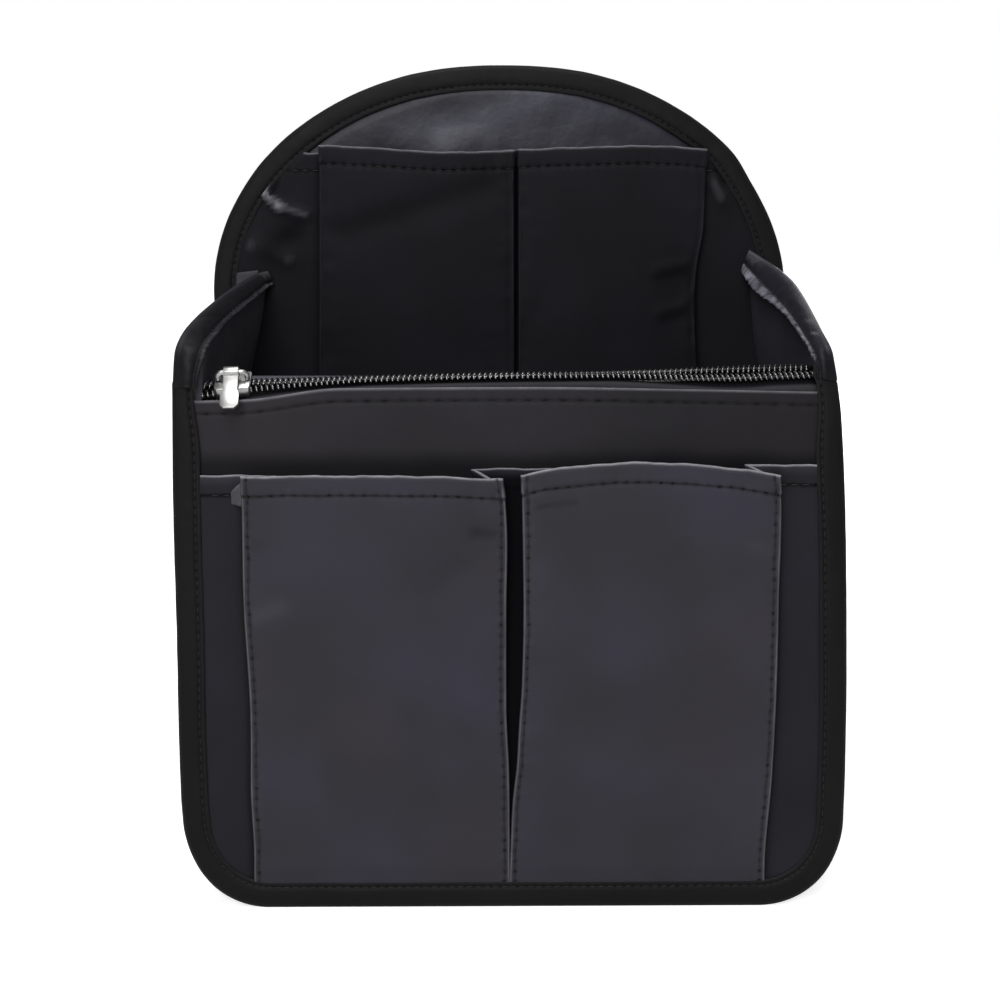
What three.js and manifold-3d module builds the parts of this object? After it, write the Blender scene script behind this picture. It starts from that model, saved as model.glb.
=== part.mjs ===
// A soft nylon organizer insert for a handbag or backpack: a tall arched back wall and a lower front wall,
// joined by one gusset strip and bound with folded tape. A coil zip closes the pocket in the front wall.
// Millimetres, +Z up, the front faces -Y. The origin is on the table, under the middle of the bag.
import * as THREE from "three";
import { mergeVertices } from "three/addons/utils/BufferGeometryUtils.js";
import Module from "manifold-3d";

const wasm = await Module();
wasm.setup();

// Walls
const WALL_WIDTH = 210; // over the binding
const BACK_HEIGHT = 270.5; // table to the top of the arch, over the binding
const ARCH_RISE = 81; // height of the elliptical arch above its straight sides
const CORNER_RADIUS = 28; // bottom corners, over the binding
const BASE_DEPTH = 100; // front wall to back wall at the table, outer face to outer face
const FRONT_LEAN = THREE.MathUtils.degToRad(5); // the front wall leans back towards the zip
const FRONT_TAPER = 2; // how much each side of the front wall draws in at the gusset's top
const HEM_HEIGHT = 163.3; // top of the front shell, measured along the wall
const GUSSET_FRONT_RISE = 14.7; // top of the gusset above the front hem, along the wall
const GUSSET_BACK_RISE = 8.5; // top of the gusset above the straight sides of the back wall

// Sheet goods
const CLOTH = 0.4; // nylon sheet
const BOARD = 0.8; // stiffener sheet
const TAPE = 0.5; // binding tape, one layer
const GAP = 0.3; // clearance between two layers that lie on each other
const SEAM_ALLOWANCE = 7; // sheet that is caught inside a binding
const BINDING_WIDTH = 8.5; // visible width of the binding on a wall's outer face
const BINDING_ROUND = 0.8; // chamfer that stands for the tape's round fold
const BOARD_MARGIN = 3; // the front board stops this far inside its wall

// Pockets
const FRONT_POCKET_DROP = 24.3; // from the front hem down to the pockets' top edge
const FRONT_POCKET_FOOT = 10; // bottom of the pockets, along the front wall
const FRONT_POCKET_WIDTH = 79; // between the two outer folds of one pocket
const FRONT_POCKET_SPREAD = 3; // the pockets stand this far from the centre line at the top
const FRONT_PLEAT = 8; // depth of a pleat
const FRONT_MOUTH_LIFT = 5.5; // how far the pleats stand open at the top
const FRONT_MOUTH_CROWN = 2; // how much further the middle of a pocket bellies out
const INNER_POCKET_DROP = 30.5; // from the top of the arch down to the pockets' top edge
const INNER_POCKET_HEIGHT = 145;
const INNER_POCKET_WIDTH = 63;
const INNER_POCKET_SPREAD = 1.5;
const INNER_PLEAT = 6;
const INNER_MOUTH_LIFT = 4;
const INNER_MOUTH_CROWN = 2;
const FOLD_PITCH = 0.75; // from one layer of a pleat to the next

// Zip
const ZIP_RISE = 4; // middle of the chain above the front hem, along the wall
const ZIP_SET_BACK = 6; // chain centre behind the outer face of the front wall
const ZIP_TILT = THREE.MathUtils.degToRad(28); // the chain faces up and this far forwards
const ZIP_SLANT = THREE.MathUtils.degToRad(1.5); // it is sewn on at a slant, its right end higher
const ZIP_END_ROOM = 1.3; // from an end of the zip to the gusset beside it
const ZIP_TAPE_WIDTH = 7; // flat part of a tape, from the chain's centre to where it turns down
const ZIP_TAPE_DROP = 9; // length of tape that is sewn to the wall
const ZIP_TAPE_BEND = 0.7; // how far before and after its turn a tape starts to bend
const TOOTH_PITCH = 1.68;
const TOOTH_WIDTH = 0.95;
const TOOTH_LENGTH = 1.8;
const TOOTH_SLANT = 0.35;
const COIL_WIDTH = 2.7; // one row of teeth with its root
const COIL_HEIGHT = 2.2;
const ROW_GAP = 1.0; // between the two rows, where the slider's wedge runs

// Slider and pull
const SLIDER_LENGTH = 11;
const SLIDER_PLATE = 1.1;
const SLIDER_WALL = 0.9;
const SLIDER_SHOULDER = 0.7; // the mouth end is this much wider on each side
const SLIDER_CLEARANCE = 0.3; // round the teeth and tapes
const WEDGE_LENGTH = 3.2;
const WEDGE_WIDTH = 0.5;
const SLIDER_REST = 1.6; // chain left between the slider's mouth and the left end of the zip at rest
const CROWN_RADIUS = 0.85; // half the thickness of the crown's bar
const CROWN_LENGTH = 9.2; // between the middles of the crown's two legs
const CROWN_HEIGHT = 2.9; // bar centre above the slider's top plate
const CROWN_BEND = 1.8;
const KNUCKLE_WALL = 0.75;
const KNUCKLE_CLEARANCE = 0.2;
const KNUCKLE_LENGTH = 4.6;
const PULL_LENGTH = 13.5; // bar centre to the tip of the tab
const PULL_WIDTH = 5.6;
const PULL_NECK = 4.2;
const PULL_THICKNESS = 1.2;
const PULL_REST = THREE.MathUtils.degToRad(69); // the slider holds the tab this far off the chain's normal

const HALF_WIDTH = WALL_WIDTH / 2;
const SPRING = BACK_HEIGHT - ARCH_RISE; // where the straight sides of the back wall end
const EDGE = TAPE + GAP; // sheet edge to the outside of the binding
const WALL_INSET = EDGE + SEAM_ALLOWANCE; // outer face of the gusset
const ROOM_INSET = WALL_INSET + CLOTH; // inner face of the gusset
const FIELD_INSET = ROOM_INSET + GAP; // what lies flat inside the gusset keeps to this outline
const REAR_INSET = FIELD_INSET + 2 * GAP; // the tilted rear wall of the zip pocket keeps further off
const gussetFrontHeight = HEM_HEIGHT + GUSSET_FRONT_RISE;
const gussetBackHeight = SPRING + GUSSET_BACK_RISE;
const frontPocketTop = HEM_HEIGHT - FRONT_POCKET_DROP;
const innerPocketTop = BACK_HEIGHT - INNER_POCKET_DROP;
const innerPocketFoot = innerPocketTop - INNER_POCKET_HEIGHT;
const zipHeight = HEM_HEIGHT + ZIP_RISE;
const CORNER_STEPS = 7;
const ARCH_STEPS = 28;

const nylon = new THREE.MeshStandardMaterial({ color: 0x2f2d33, roughness: 0.5, metalness: 0 });
const lining = new THREE.MeshStandardMaterial({ color: 0x34333c, roughness: 0.45, metalness: 0 });
const bindingTape = new THREE.MeshStandardMaterial({ color: 0x151515, roughness: 0.6, metalness: 0 });
const board = new THREE.MeshStandardMaterial({ color: 0xd8d8d4, roughness: 0.7, metalness: 0 });
const zipTape = new THREE.MeshStandardMaterial({ color: 0x1b1b1d, roughness: 0.8, metalness: 0 });
const coil = new THREE.MeshStandardMaterial({ color: 0x1f1f20, roughness: 0.35, metalness: 0 });
const nickel = new THREE.MeshStandardMaterial({ color: 0xdedede, roughness: 0.22, metalness: 1 });

// Solids

function solidFrom(geometry) {
  const bare = new THREE.BufferGeometry();
  bare.setAttribute("position", geometry.getAttribute("position"));
  bare.setIndex(geometry.index);
  const merged = mergeVertices(bare, 1e-4);
  const vertProperties = new Float32Array(merged.getAttribute("position").array);
  const triVerts = new Uint32Array(merged.index.array);
  return new wasm.Manifold(new wasm.Mesh({ numProp: 3, vertProperties, triVerts }));
}

function geometryFrom(solid) {
  const mesh = solid.getMesh();
  const geometry = new THREE.BufferGeometry();
  geometry.setAttribute("position", new THREE.BufferAttribute(mesh.vertProperties, 3));
  geometry.setIndex(new THREE.BufferAttribute(mesh.triVerts, 1));
  geometry.computeVertexNormals();
  return geometry;
}

function box(width, depth, height, x, y, z) {
  return new THREE.BoxGeometry(width, depth, height).translate(x, y, z);
}

function part(name, geometry, material) {
  const mesh = new THREE.Mesh(geometry, material);
  mesh.name = name;
  return mesh;
}

// Joins rings of points into one closed body. Each ring is one closed section, seen the same way round.
function loft(rings, isLoop) {
  const count = rings[0].length;
  const positions = rings.flat().flatMap((p) => [p.x, p.y, p.z]);
  const faces = [];
  const spans = isLoop ? rings.length : rings.length - 1;
  for (let i = 0; i < spans; i++) {
    const here = i * count;
    const next = ((i + 1) % rings.length) * count;
    for (let j = 0; j < count; j++) {
      const k = (j + 1) % count;
      faces.push(here + j, here + k, next + k, here + j, next + k, next + j);
    }
  }
  if (!isLoop) {
    const last = (rings.length - 1) * count;
    for (const [a, b, c] of capFaces(rings[0])) faces.push(a, c, b);
    for (const [a, b, c] of capFaces(rings[rings.length - 1])) faces.push(last + a, last + b, last + c);
  }
  return new THREE.BufferGeometry()
    .setAttribute("position", new THREE.Float32BufferAttribute(positions, 3))
    .setIndex(faces);
}

// Triangles over a flat ring, in the ring's own direction of travel.
function capFaces(ring) {
  const normal = new THREE.Vector3();
  ring.forEach((p, i) => normal.add(new THREE.Vector3().crossVectors(p, ring[(i + 1) % ring.length])));
  const turn = new THREE.Quaternion().setFromUnitVectors(normal.normalize(), new THREE.Vector3(0, 0, 1));
  const flat = ring.map((p) => p.clone().applyQuaternion(turn));
  return THREE.ShapeUtils.triangulateShape(flat.map((p) => new THREE.Vector2(p.x, p.y)), []);
}

// Faces of a loft point out when its sections turn anticlockwise seen from the end of the path.
function facingOut(geometry) {
  if (solidFrom(geometry).volume() > 0) return geometry;
  const index = geometry.index.array;
  for (let i = 0; i < index.length; i += 3) [index[i + 1], index[i + 2]] = [index[i + 2], index[i + 1]];
  return geometry;
}

// Wall outlines, as points (x, z) over the binding

function frontHalfWidth(height) {
  const share = (height - CORNER_RADIUS) / (gussetFrontHeight - CORNER_RADIUS);
  return HALF_WIDTH - FRONT_TAPER * Math.max(0, share);
}

function backHalfWidth(height) {
  const rise = Math.max(0, height - SPRING) / ARCH_RISE;
  return HALF_WIDTH * Math.sqrt(1 - rise * rise);
}

// From the top left down, round both bottom corners and up to the top right.
function openOutline(halfWidth, heights) {
  const points = heights.map((z) => new THREE.Vector2(-halfWidth(z), z));
  for (const side of [-1, 1]) {
    for (let i = 0; i <= CORNER_STEPS; i++) {
      const turn = ((i / CORNER_STEPS + (side > 0 ? 1 : 0)) * Math.PI) / 2;
      const centre = side * (HALF_WIDTH - CORNER_RADIUS);
      const x = centre - CORNER_RADIUS * Math.cos(turn);
      points.push(new THREE.Vector2(x, CORNER_RADIUS - CORNER_RADIUS * Math.sin(turn)));
    }
  }
  return [...points, ...[...heights].reverse().map((z) => new THREE.Vector2(halfWidth(z), z))];
}

function backLoop() {
  const points = openOutline(backHalfWidth, [SPRING]);
  for (let i = 1; i < ARCH_STEPS; i++) {
    const turn = (i / ARCH_STEPS) * Math.PI;
    points.push(new THREE.Vector2(HALF_WIDTH * Math.cos(turn), SPRING + ARCH_RISE * Math.sin(turn)));
  }
  return points;
}

// Outward direction at each point of an outline, long enough to keep parallel offsets parallel.
function outwards(points, isLoop) {
  const count = points.length;
  const edge = (i) => {
    const along = points[(i + 1) % count].clone().sub(points[i]).normalize();
    return new THREE.Vector2(along.y, -along.x);
  };
  return points.map((_, i) => {
    const before = isLoop || i > 0 ? edge((i + count - 1) % count) : edge(i);
    const after = isLoop || i < count - 1 ? edge(i) : before;
    const sum = before.clone().add(after).normalize();
    return sum.divideScalar(sum.dot(before));
  });
}

function inset(points, distance, isLoop) {
  const out = outwards(points, isLoop);
  return points.map((p, i) => p.clone().addScaledVector(out[i], -distance));
}

// A flat sheet in the XZ plane from y = near to y = near + thickness.
function plate(outline, near, thickness) {
  const geometry = new THREE.ExtrudeGeometry(new THREE.Shape(outline), {
    depth: thickness,
    bevelEnabled: false,
  });
  return geometry.rotateX(Math.PI / 2).translate(0, near + thickness, 0);
}

// Folded tape along an outline. The section is (outwards, y), with its fold at the outline.
function foldedTape(outline, isLoop, nearFace, farFace, nearLeg, farLeg) {
  const section = [
    [-nearLeg, nearFace],
    [-BINDING_ROUND, nearFace],
    [0, nearFace + BINDING_ROUND],
    [0, farFace - BINDING_ROUND],
    [-BINDING_ROUND, farFace],
    [-farLeg, farFace],
    [-farLeg, farFace - TAPE],
    [-TAPE, farFace - TAPE],
    [-TAPE, nearFace + TAPE],
    [-nearLeg, nearFace + TAPE],
  ];
  const out = outwards(outline, isLoop);
  const rings = outline.map((p, i) =>
    section.map(([n, y]) => new THREE.Vector3(p.x + out[i].x * n, y, p.y + out[i].y * n)),
  );
  return facingOut(loft(rings, isLoop));
}

// Pleated pockets

// A half circle from the bottom of a fold to its top, open towards side -1 (left) or 1 (right).
function fold(x, height, side) {
  const radius = FOLD_PITCH / 2;
  return [-90, -45, 0, 45, 90].map((angle) => {
    const turn = THREE.MathUtils.degToRad(angle);
    return new THREE.Vector2(
      x - side * radius + side * radius * Math.cos(turn),
      height + radius + radius * Math.sin(turn),
    );
  });
}

// The line of the right half of a pocket strip at one height, from the centre seam to the side margin.
// Values are (x, distance from the wall): base, pleat, pocket front, pleat, margin.
const BELLY_SHARES = [0.15, 0.35, 0.65, 0.85]; // where the pocket front's curve is sampled

function pocketLine(style, open, margin) {
  const base = GAP + CLOTH / 2;
  const near = FOLD_PITCH / 2 + style.spread * open;
  const far = near + style.width;
  const lift = style.lift * open;
  const front = base + 2 * FOLD_PITCH + lift;
  const belly = BELLY_SHARES.map((share) => {
    const bulge = style.crown * open * Math.sin(Math.PI * share);
    return new THREE.Vector2(near + share * style.width, front + bulge);
  });
  return [
    new THREE.Vector2(0, base),
    ...fold(near + style.pleat, base, 1),
    ...fold(near, front - FOLD_PITCH, -1),
    ...belly,
    ...fold(far, front - FOLD_PITCH, 1).reverse(),
    ...fold(far - style.pleat, base, -1).reverse(),
    new THREE.Vector2(margin, base),
  ];
}

// One strip of cloth with two pleated pockets, standing off the plane y = 0 towards -Y.
function pocketStrip(style) {
  const rings = style.heights.map((z) => {
    const open = (z - style.foot) / (style.top - style.foot);
    const right = pocketLine(style, open, style.margin(z));
    const left = right.slice(1).map((p) => new THREE.Vector2(-p.x, p.y)).reverse();
    const middle = [...left, ...right];
    const normals = outwards(middle, false);
    const side = (sign) =>
      middle.map((p, i) => p.clone().addScaledVector(normals[i], (sign * CLOTH) / 2));
    return [...side(1), ...side(-1).reverse()].map((p) => new THREE.Vector3(p.x, -p.y, z));
  });
  return facingOut(loft(rings, false));
}

// Half-width at a height of the room left inside a wall's binding.
function roomInside(halfWidth, margin, z) {
  if (z >= CORNER_RADIUS) return halfWidth(z) - margin;
  const radius = CORNER_RADIUS - margin;
  const below = CORNER_RADIUS - z;
  return HALF_WIDTH - CORNER_RADIUS + Math.sqrt(radius * radius - below * below);
}

// The arch's room is drawn in by the same margin on both of its axes.
function roomInsideBack(margin, z) {
  const rise = Math.max(0, z - SPRING) / (ARCH_RISE - margin);
  return (HALF_WIDTH - margin) * Math.sqrt(1 - rise * rise);
}

// Back wall: depths are measured inwards from its outer face

const backWall = new THREE.Group();
backWall.position.y = BASE_DEPTH / 2;
const backOutline = backLoop();
const backFlange = -(2 * CLOTH + 2 * GAP); // face of the seam allowance that lies on the lining
const backFieldFace = -(2 * CLOTH + 2 * GAP + BOARD); // face of the lining over the board

function backLining() {
  const rise = BOARD + GAP;
  const border = plate(inset(backOutline, EDGE, true), -2 * CLOTH - GAP, CLOTH);
  const field = plate(inset(backOutline, FIELD_INSET, true), backFieldFace, rise + CLOTH);
  const hollow = plate(inset(backOutline, FIELD_INSET + CLOTH, true), backFieldFace + CLOTH, rise + CLOTH);
  return geometryFrom(solidFrom(border).add(solidFrom(field)).subtract(solidFrom(hollow)));
}

backWall.add(
  part("back_shell", plate(inset(backOutline, EDGE, true), -CLOTH, CLOTH), nylon),
  part(
    "back_stiffener",
    plate(inset(backOutline, FIELD_INSET + CLOTH + GAP, true), -CLOTH - GAP - BOARD, BOARD),
    board,
  ),
  part("back_lining", backLining(), lining),
  part(
    "back_binding",
    foldedTape(backOutline, true, backFlange - CLOTH - EDGE, EDGE, WALL_INSET - GAP, BINDING_WIDTH),
    bindingTape,
  ),
);

const innerPockets = pocketStrip({
  foot: innerPocketFoot,
  top: innerPocketTop,
  heights: [0, 0.25, 0.5, 0.65, 0.75, 0.85, 0.93, 1].map((share) =>
    THREE.MathUtils.lerp(innerPocketFoot, innerPocketTop, share),
  ),
  width: INNER_POCKET_WIDTH,
  spread: INNER_POCKET_SPREAD,
  pleat: INNER_PLEAT,
  lift: INNER_MOUTH_LIFT,
  crown: INNER_MOUTH_CROWN,
  margin: (z) => roomInsideBack(BINDING_WIDTH + GAP, z),
}).translate(0, backFieldFace, 0);
backWall.add(part("inner_pocket_strip", innerPockets, nylon));

// Front wall: a leaning group whose y runs inwards from the shell's outer face and z along the wall

const frontBindingBack = 2 * CLOTH + GAP + EDGE; // rear face of the front binding
const frontWall = new THREE.Group();
frontWall.position.set(0, -BASE_DEPTH / 2, 0);
frontWall.rotation.x = -FRONT_LEAN;
frontWall.updateMatrix();

const shellOutline = inset(openOutline(frontHalfWidth, [HEM_HEIGHT]), EDGE, false);
shellOutline[0].y = HEM_HEIGHT;
shellOutline[shellOutline.length - 1].y = HEM_HEIGHT;

// The binding's fold is pressed flat where the bag stands on it.
function standingOnTable(geometry) {
  const table = box(2 * WALL_WIDTH, 2 * BASE_DEPTH, BASE_DEPTH, 0, 0, -BASE_DEPTH / 2);
  const placed = solidFrom(geometry.applyMatrix4(frontWall.matrix)).subtract(solidFrom(table));
  return geometryFrom(placed).applyMatrix4(frontWall.matrix.clone().invert());
}

const frontBinding = standingOnTable(
  foldedTape(
    openOutline(frontHalfWidth, [gussetFrontHeight]),
    false,
    -EDGE,
    frontBindingBack,
    BINDING_WIDTH,
    WALL_INSET - GAP,
  ),
);

const frontPockets = pocketStrip({
  foot: FRONT_POCKET_FOOT,
  top: frontPocketTop,
  heights: [
    ...[0, 0.12, 0.35, 0.65].map((share) =>
      THREE.MathUtils.lerp(FRONT_POCKET_FOOT, CORNER_RADIUS, share),
    ),
    ...[0, 0.5, 1].map((share) => THREE.MathUtils.lerp(CORNER_RADIUS, frontPocketTop, share)),
  ],
  width: FRONT_POCKET_WIDTH,
  spread: FRONT_POCKET_SPREAD,
  pleat: FRONT_PLEAT,
  lift: FRONT_MOUTH_LIFT,
  crown: FRONT_MOUTH_CROWN,
  margin: (z) => roomInside(frontHalfWidth, BINDING_WIDTH + GAP, z),
});

frontWall.add(
  part("front_shell", plate(shellOutline, 0, CLOTH), nylon),
  part("front_pocket_strip", frontPockets, nylon),
  part("front_binding", frontBinding, bindingTape),
);

// Rear wall of the zip pocket: it meets the shell at the base and stands behind the zip at the top

const zipFacing = ZIP_TILT + FRONT_LEAN; // the chain's tilt against the front wall
const zipAcross = new THREE.Vector2(Math.cos(zipFacing), Math.sin(zipFacing));
const zipCentre = new THREE.Vector2(ZIP_SET_BACK, zipHeight);
const rearTurn = zipCentre.clone().addScaledVector(zipAcross, ZIP_TAPE_WIDTH);
const rearFoot = new THREE.Vector2(CLOTH + GAP, REAR_INSET);
const rearFace = rearTurn.x + TAPE / 2 + GAP; // front face of the zip pocket's rear wall at the top
const rearTilt = Math.atan2(rearFace - rearFoot.x, rearTurn.y - rearFoot.y);
const rearHeight = (rearTurn.y - rearFoot.y) / Math.cos(rearTilt);

// The group turns about the foot of the rear wall, which stays on the front wall's own height scale.
const rearWall = new THREE.Group();
rearWall.rotation.x = -rearTilt;
rearWall.position.y = rearFoot.x - rearFoot.y * Math.sin(rearTilt);
rearWall.position.z = rearFoot.y * (1 - Math.cos(rearTilt));

function rearSheet(margin, near, thickness) {
  const top = rearFoot.y + rearHeight - margin;
  const outline = inset(openOutline(frontHalfWidth, [top]), REAR_INSET + margin, false);
  for (const end of [outline[0], outline[outline.length - 1]]) end.y = top;
  return plate(outline, near, thickness);
}

rearWall.add(
  part("zip_pocket_back", rearSheet(0, 0, CLOTH), lining),
  part("front_stiffener", rearSheet(BOARD_MARGIN, CLOTH + GAP, BOARD), board),
  part("front_lining", rearSheet(0, CLOTH + BOARD + 2 * GAP, CLOTH), lining),
);
frontWall.add(rearWall);

// Gusset: one strip down the left side, along the base and up the right side, with its edges turned out

const gussetFront = openOutline(frontHalfWidth, [gussetFrontHeight, HEM_HEIGHT]);
const gussetBack = openOutline(backHalfWidth, [gussetBackHeight, SPRING]);

function gusset() {
  const flangeFront = CLOTH + GAP;
  const edges = [
    { outline: gussetBack, place: (x, z, y) => new THREE.Vector3(x, BASE_DEPTH / 2 + y, z) },
    {
      outline: gussetFront,
      place: (x, z, y) => new THREE.Vector3(x, y, z).applyMatrix4(frontWall.matrix),
    },
  ].map((edge) => ({ ...edge, out: outwards(edge.outline, false) }));
  const at = (edge, i, depth, y) => {
    const p = edge.outline[i].clone().addScaledVector(edge.out[i], -depth);
    return edge.place(p.x, p.y, y);
  };
  const [back, front] = edges;
  const rings = gussetFront.map((_, i) => [
    at(back, i, ROOM_INSET, backFlange),
    at(back, i, EDGE, backFlange),
    at(back, i, EDGE, backFlange - CLOTH),
    at(back, i, WALL_INSET, backFlange - CLOTH),
    at(front, i, WALL_INSET, flangeFront + CLOTH),
    at(front, i, EDGE, flangeFront + CLOTH),
    at(front, i, EDGE, flangeFront),
    at(front, i, ROOM_INSET, flangeFront),
  ]);
  return facingOut(loft(rings, false));
}

// Tape folded over the gusset's top edge, from the front binding to the back wall's pockets.
const SIDE_LEG = BINDING_WIDTH - EDGE;

function sideBinding(side) {
  const [frontTop, frontBelow] = inset(gussetFront, WALL_INSET + CLOTH / 2, false);
  const [backTop, backBelow] = inset(gussetBack, WALL_INSET + CLOTH / 2, false);
  const spread = (top, below) => (below.x - top.x) / (top.y - below.y); // sideways for each mm down
  const edgeFront = new THREE.Vector3(frontTop.x, CLOTH + GAP, frontTop.y).applyMatrix4(frontWall.matrix);
  const edgeBack = new THREE.Vector3(backTop.x, BASE_DEPTH / 2 + backFlange, backTop.y);
  const length = edgeBack.y - edgeFront.y;
  const start = frontBindingBack - CLOTH;
  const end = length + backFieldFace - backFlange - CLOTH - 2 * GAP;
  const half = CLOTH / 2 + GAP;
  const section = [
    [-half - TAPE, -SIDE_LEG],
    [-half - TAPE, GAP],
    [-half, EDGE],
    [half, EDGE],
    [half + TAPE, GAP],
    [half + TAPE, -SIDE_LEG],
    [half, -SIDE_LEG],
    [half, GAP],
    [-half, GAP],
    [-half, -SIDE_LEG],
  ];
  const rings = [start, end].map((distance) => {
    const share = distance / length;
    const p = edgeFront.clone().lerp(edgeBack, share);
    const slope = THREE.MathUtils.lerp(spread(frontTop, frontBelow), spread(backTop, backBelow), share);
    return section.map(
      ([across, up]) => new THREE.Vector3(side * (p.x + across - slope * up), p.y, p.z + up),
    );
  });
  return facingOut(loft(rings, false));
}

// Zip: a group whose x runs along the chain, y across it and z out of its face

const zip = new THREE.Group();
zip.position.set(0, ZIP_SET_BACK, zipHeight);
zip.rotation.x = zipFacing;
const zipHalf = frontHalfWidth(zipHeight) - ROOM_INSET - ZIP_END_ROOM;
const rowInner = ROW_GAP / 2;
const rowOuter = rowInner + COIL_WIDTH;
const coilFloor = TAPE / 2 + SLIDER_CLEARANCE / 2;

// One row of slanted teeth along x with a plain root on its outer side.
function coilRow(side) {
  const teeth = Math.floor((2 * zipHalf) / TOOTH_PITCH) - 1;
  const first = (-teeth * TOOTH_PITCH) / 2 + ((1 - side) * TOOTH_PITCH) / 4;
  const outline = [new THREE.Vector2(-zipHalf, side * rowOuter)];
  const root = side * (rowInner + TOOTH_LENGTH);
  outline.push(new THREE.Vector2(-zipHalf, root));
  for (let i = 0; i < teeth; i++) {
    const x = first + i * TOOTH_PITCH;
    outline.push(
      new THREE.Vector2(x, root),
      new THREE.Vector2(x + TOOTH_SLANT, side * rowInner),
      new THREE.Vector2(x + TOOTH_SLANT + TOOTH_WIDTH, side * rowInner),
      new THREE.Vector2(x + TOOTH_WIDTH, root),
    );
  }
  outline.push(new THREE.Vector2(zipHalf, root), new THREE.Vector2(zipHalf, side * rowOuter));
  const geometry = new THREE.ExtrudeGeometry(new THREE.Shape(outline), {
    depth: COIL_HEIGHT,
    bevelEnabled: false,
  });
  return geometry.translate(0, 0, coilFloor);
}

// A tape lies under its row, turns over the wall's edge and is sewn flat to the wall.
// Points are (y, z) of the front wall, and the section is carried along x.
function zipTapeSheet(turn, down) {
  const outward = turn.clone().sub(zipCentre).normalize();
  const line = [
    zipCentre.clone().addScaledVector(outward, rowInner),
    turn.clone().addScaledVector(outward, -ZIP_TAPE_BEND),
    turn.clone().addScaledVector(down, ZIP_TAPE_BEND),
    turn.clone().addScaledVector(down, ZIP_TAPE_DROP),
  ];
  const normals = outwards(line, false);
  const edge = (sign) => line.map((p, i) => p.clone().addScaledVector(normals[i], (sign * TAPE) / 2));
  const section = [...edge(1), ...edge(-1).reverse()];
  const rings = [-zipHalf, zipHalf].map((x) => section.map((p) => new THREE.Vector3(x, p.x, p.y)));
  return facingOut(loft(rings, false));
}

// Carries the tapes and the chain, and turns about the middle of the chain.
const zipSlant = new THREE.Group();
zipSlant.rotation.y = -ZIP_SLANT;
zipSlant.position.x = zipHeight * Math.sin(ZIP_SLANT);
zipSlant.position.z = zipHeight * (1 - Math.cos(ZIP_SLANT));

const frontTurn = new THREE.Vector2(CLOTH + GAP + TAPE / 2, 0);
frontTurn.y = zipCentre.y - ((zipCentre.x - frontTurn.x) / zipAcross.x) * zipAcross.y;
zipSlant.add(
  part("zip_tape_front", zipTapeSheet(frontTurn, new THREE.Vector2(0, -1)), zipTape),
  part(
    "zip_tape_back",
    zipTapeSheet(rearTurn, new THREE.Vector2(-Math.sin(rearTilt), -Math.cos(rearTilt))),
    zipTape,
  ),
);
zip.add(part("zip_coil_front", coilRow(-1), coil), part("zip_coil_back", coilRow(1), coil));

// Slider: two plates that hold the rows between side walls, joined by a wedge at the mouth

const plateUnder = coilFloor + COIL_HEIGHT + SLIDER_CLEARANCE; // underside of the top plate
const plateTop = plateUnder + SLIDER_PLATE;
const soleTop = -TAPE / 2 - SLIDER_CLEARANCE; // upper face of the bottom plate
const sideInner = rowOuter + SLIDER_CLEARANCE;
const sideOuter = sideInner + SLIDER_WALL;

function sliderOutline() {
  const end = SLIDER_LENGTH / 2;
  const wide = sideOuter + SLIDER_SHOULDER;
  const shape = new THREE.Shape();
  shape.moveTo(end, -sideOuter + SLIDER_WALL);
  shape.lineTo(end, sideOuter - SLIDER_WALL);
  shape.quadraticCurveTo(end, sideOuter, end - SLIDER_WALL, sideOuter);
  shape.lineTo(-end + 2 * SLIDER_WALL, wide);
  shape.quadraticCurveTo(-end, wide, -end, wide - 2 * SLIDER_WALL);
  shape.lineTo(-end, -wide + 2 * SLIDER_WALL);
  shape.quadraticCurveTo(-end, -wide, -end + 2 * SLIDER_WALL, -wide);
  shape.lineTo(end - SLIDER_WALL, -sideOuter);
  shape.quadraticCurveTo(end, -sideOuter, end, -sideOuter + SLIDER_WALL);
  return shape;
}

function sliderSlab(floor, height) {
  const geometry = new THREE.ExtrudeGeometry(sliderOutline(), {
    depth: height,
    bevelEnabled: false,
    curveSegments: 4,
  });
  return solidFrom(geometry.translate(0, 0, floor));
}

function sliderBody() {
  const slot = TAPE / 2 + SLIDER_CLEARANCE; // the tapes leave between the side walls and the bottom plate
  const walls = sliderSlab(slot, plateTop - slot);
  const channel = solidFrom(box(2 * SLIDER_LENGTH, 2 * sideInner, 2 * plateUnder, 0, 0, 0));
  const sole = sliderSlab(soleTop - SLIDER_PLATE, SLIDER_PLATE);
  const wedgeX = (WEDGE_LENGTH - SLIDER_LENGTH) / 2;
  const wedgeHeight = plateUnder - soleTop + SLIDER_PLATE; // it ends inside both plates
  const wedge = box(WEDGE_LENGTH, WEDGE_WIDTH, wedgeHeight, wedgeX, 0, (plateUnder + soleTop) / 2);
  return geometryFrom(walls.subtract(channel).add(sole).add(solidFrom(wedge)));
}

// Crown: a bent bar over the top plate. The pull's knuckle turns on its straight top.
const barHeight = plateTop + CROWN_HEIGHT;

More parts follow.
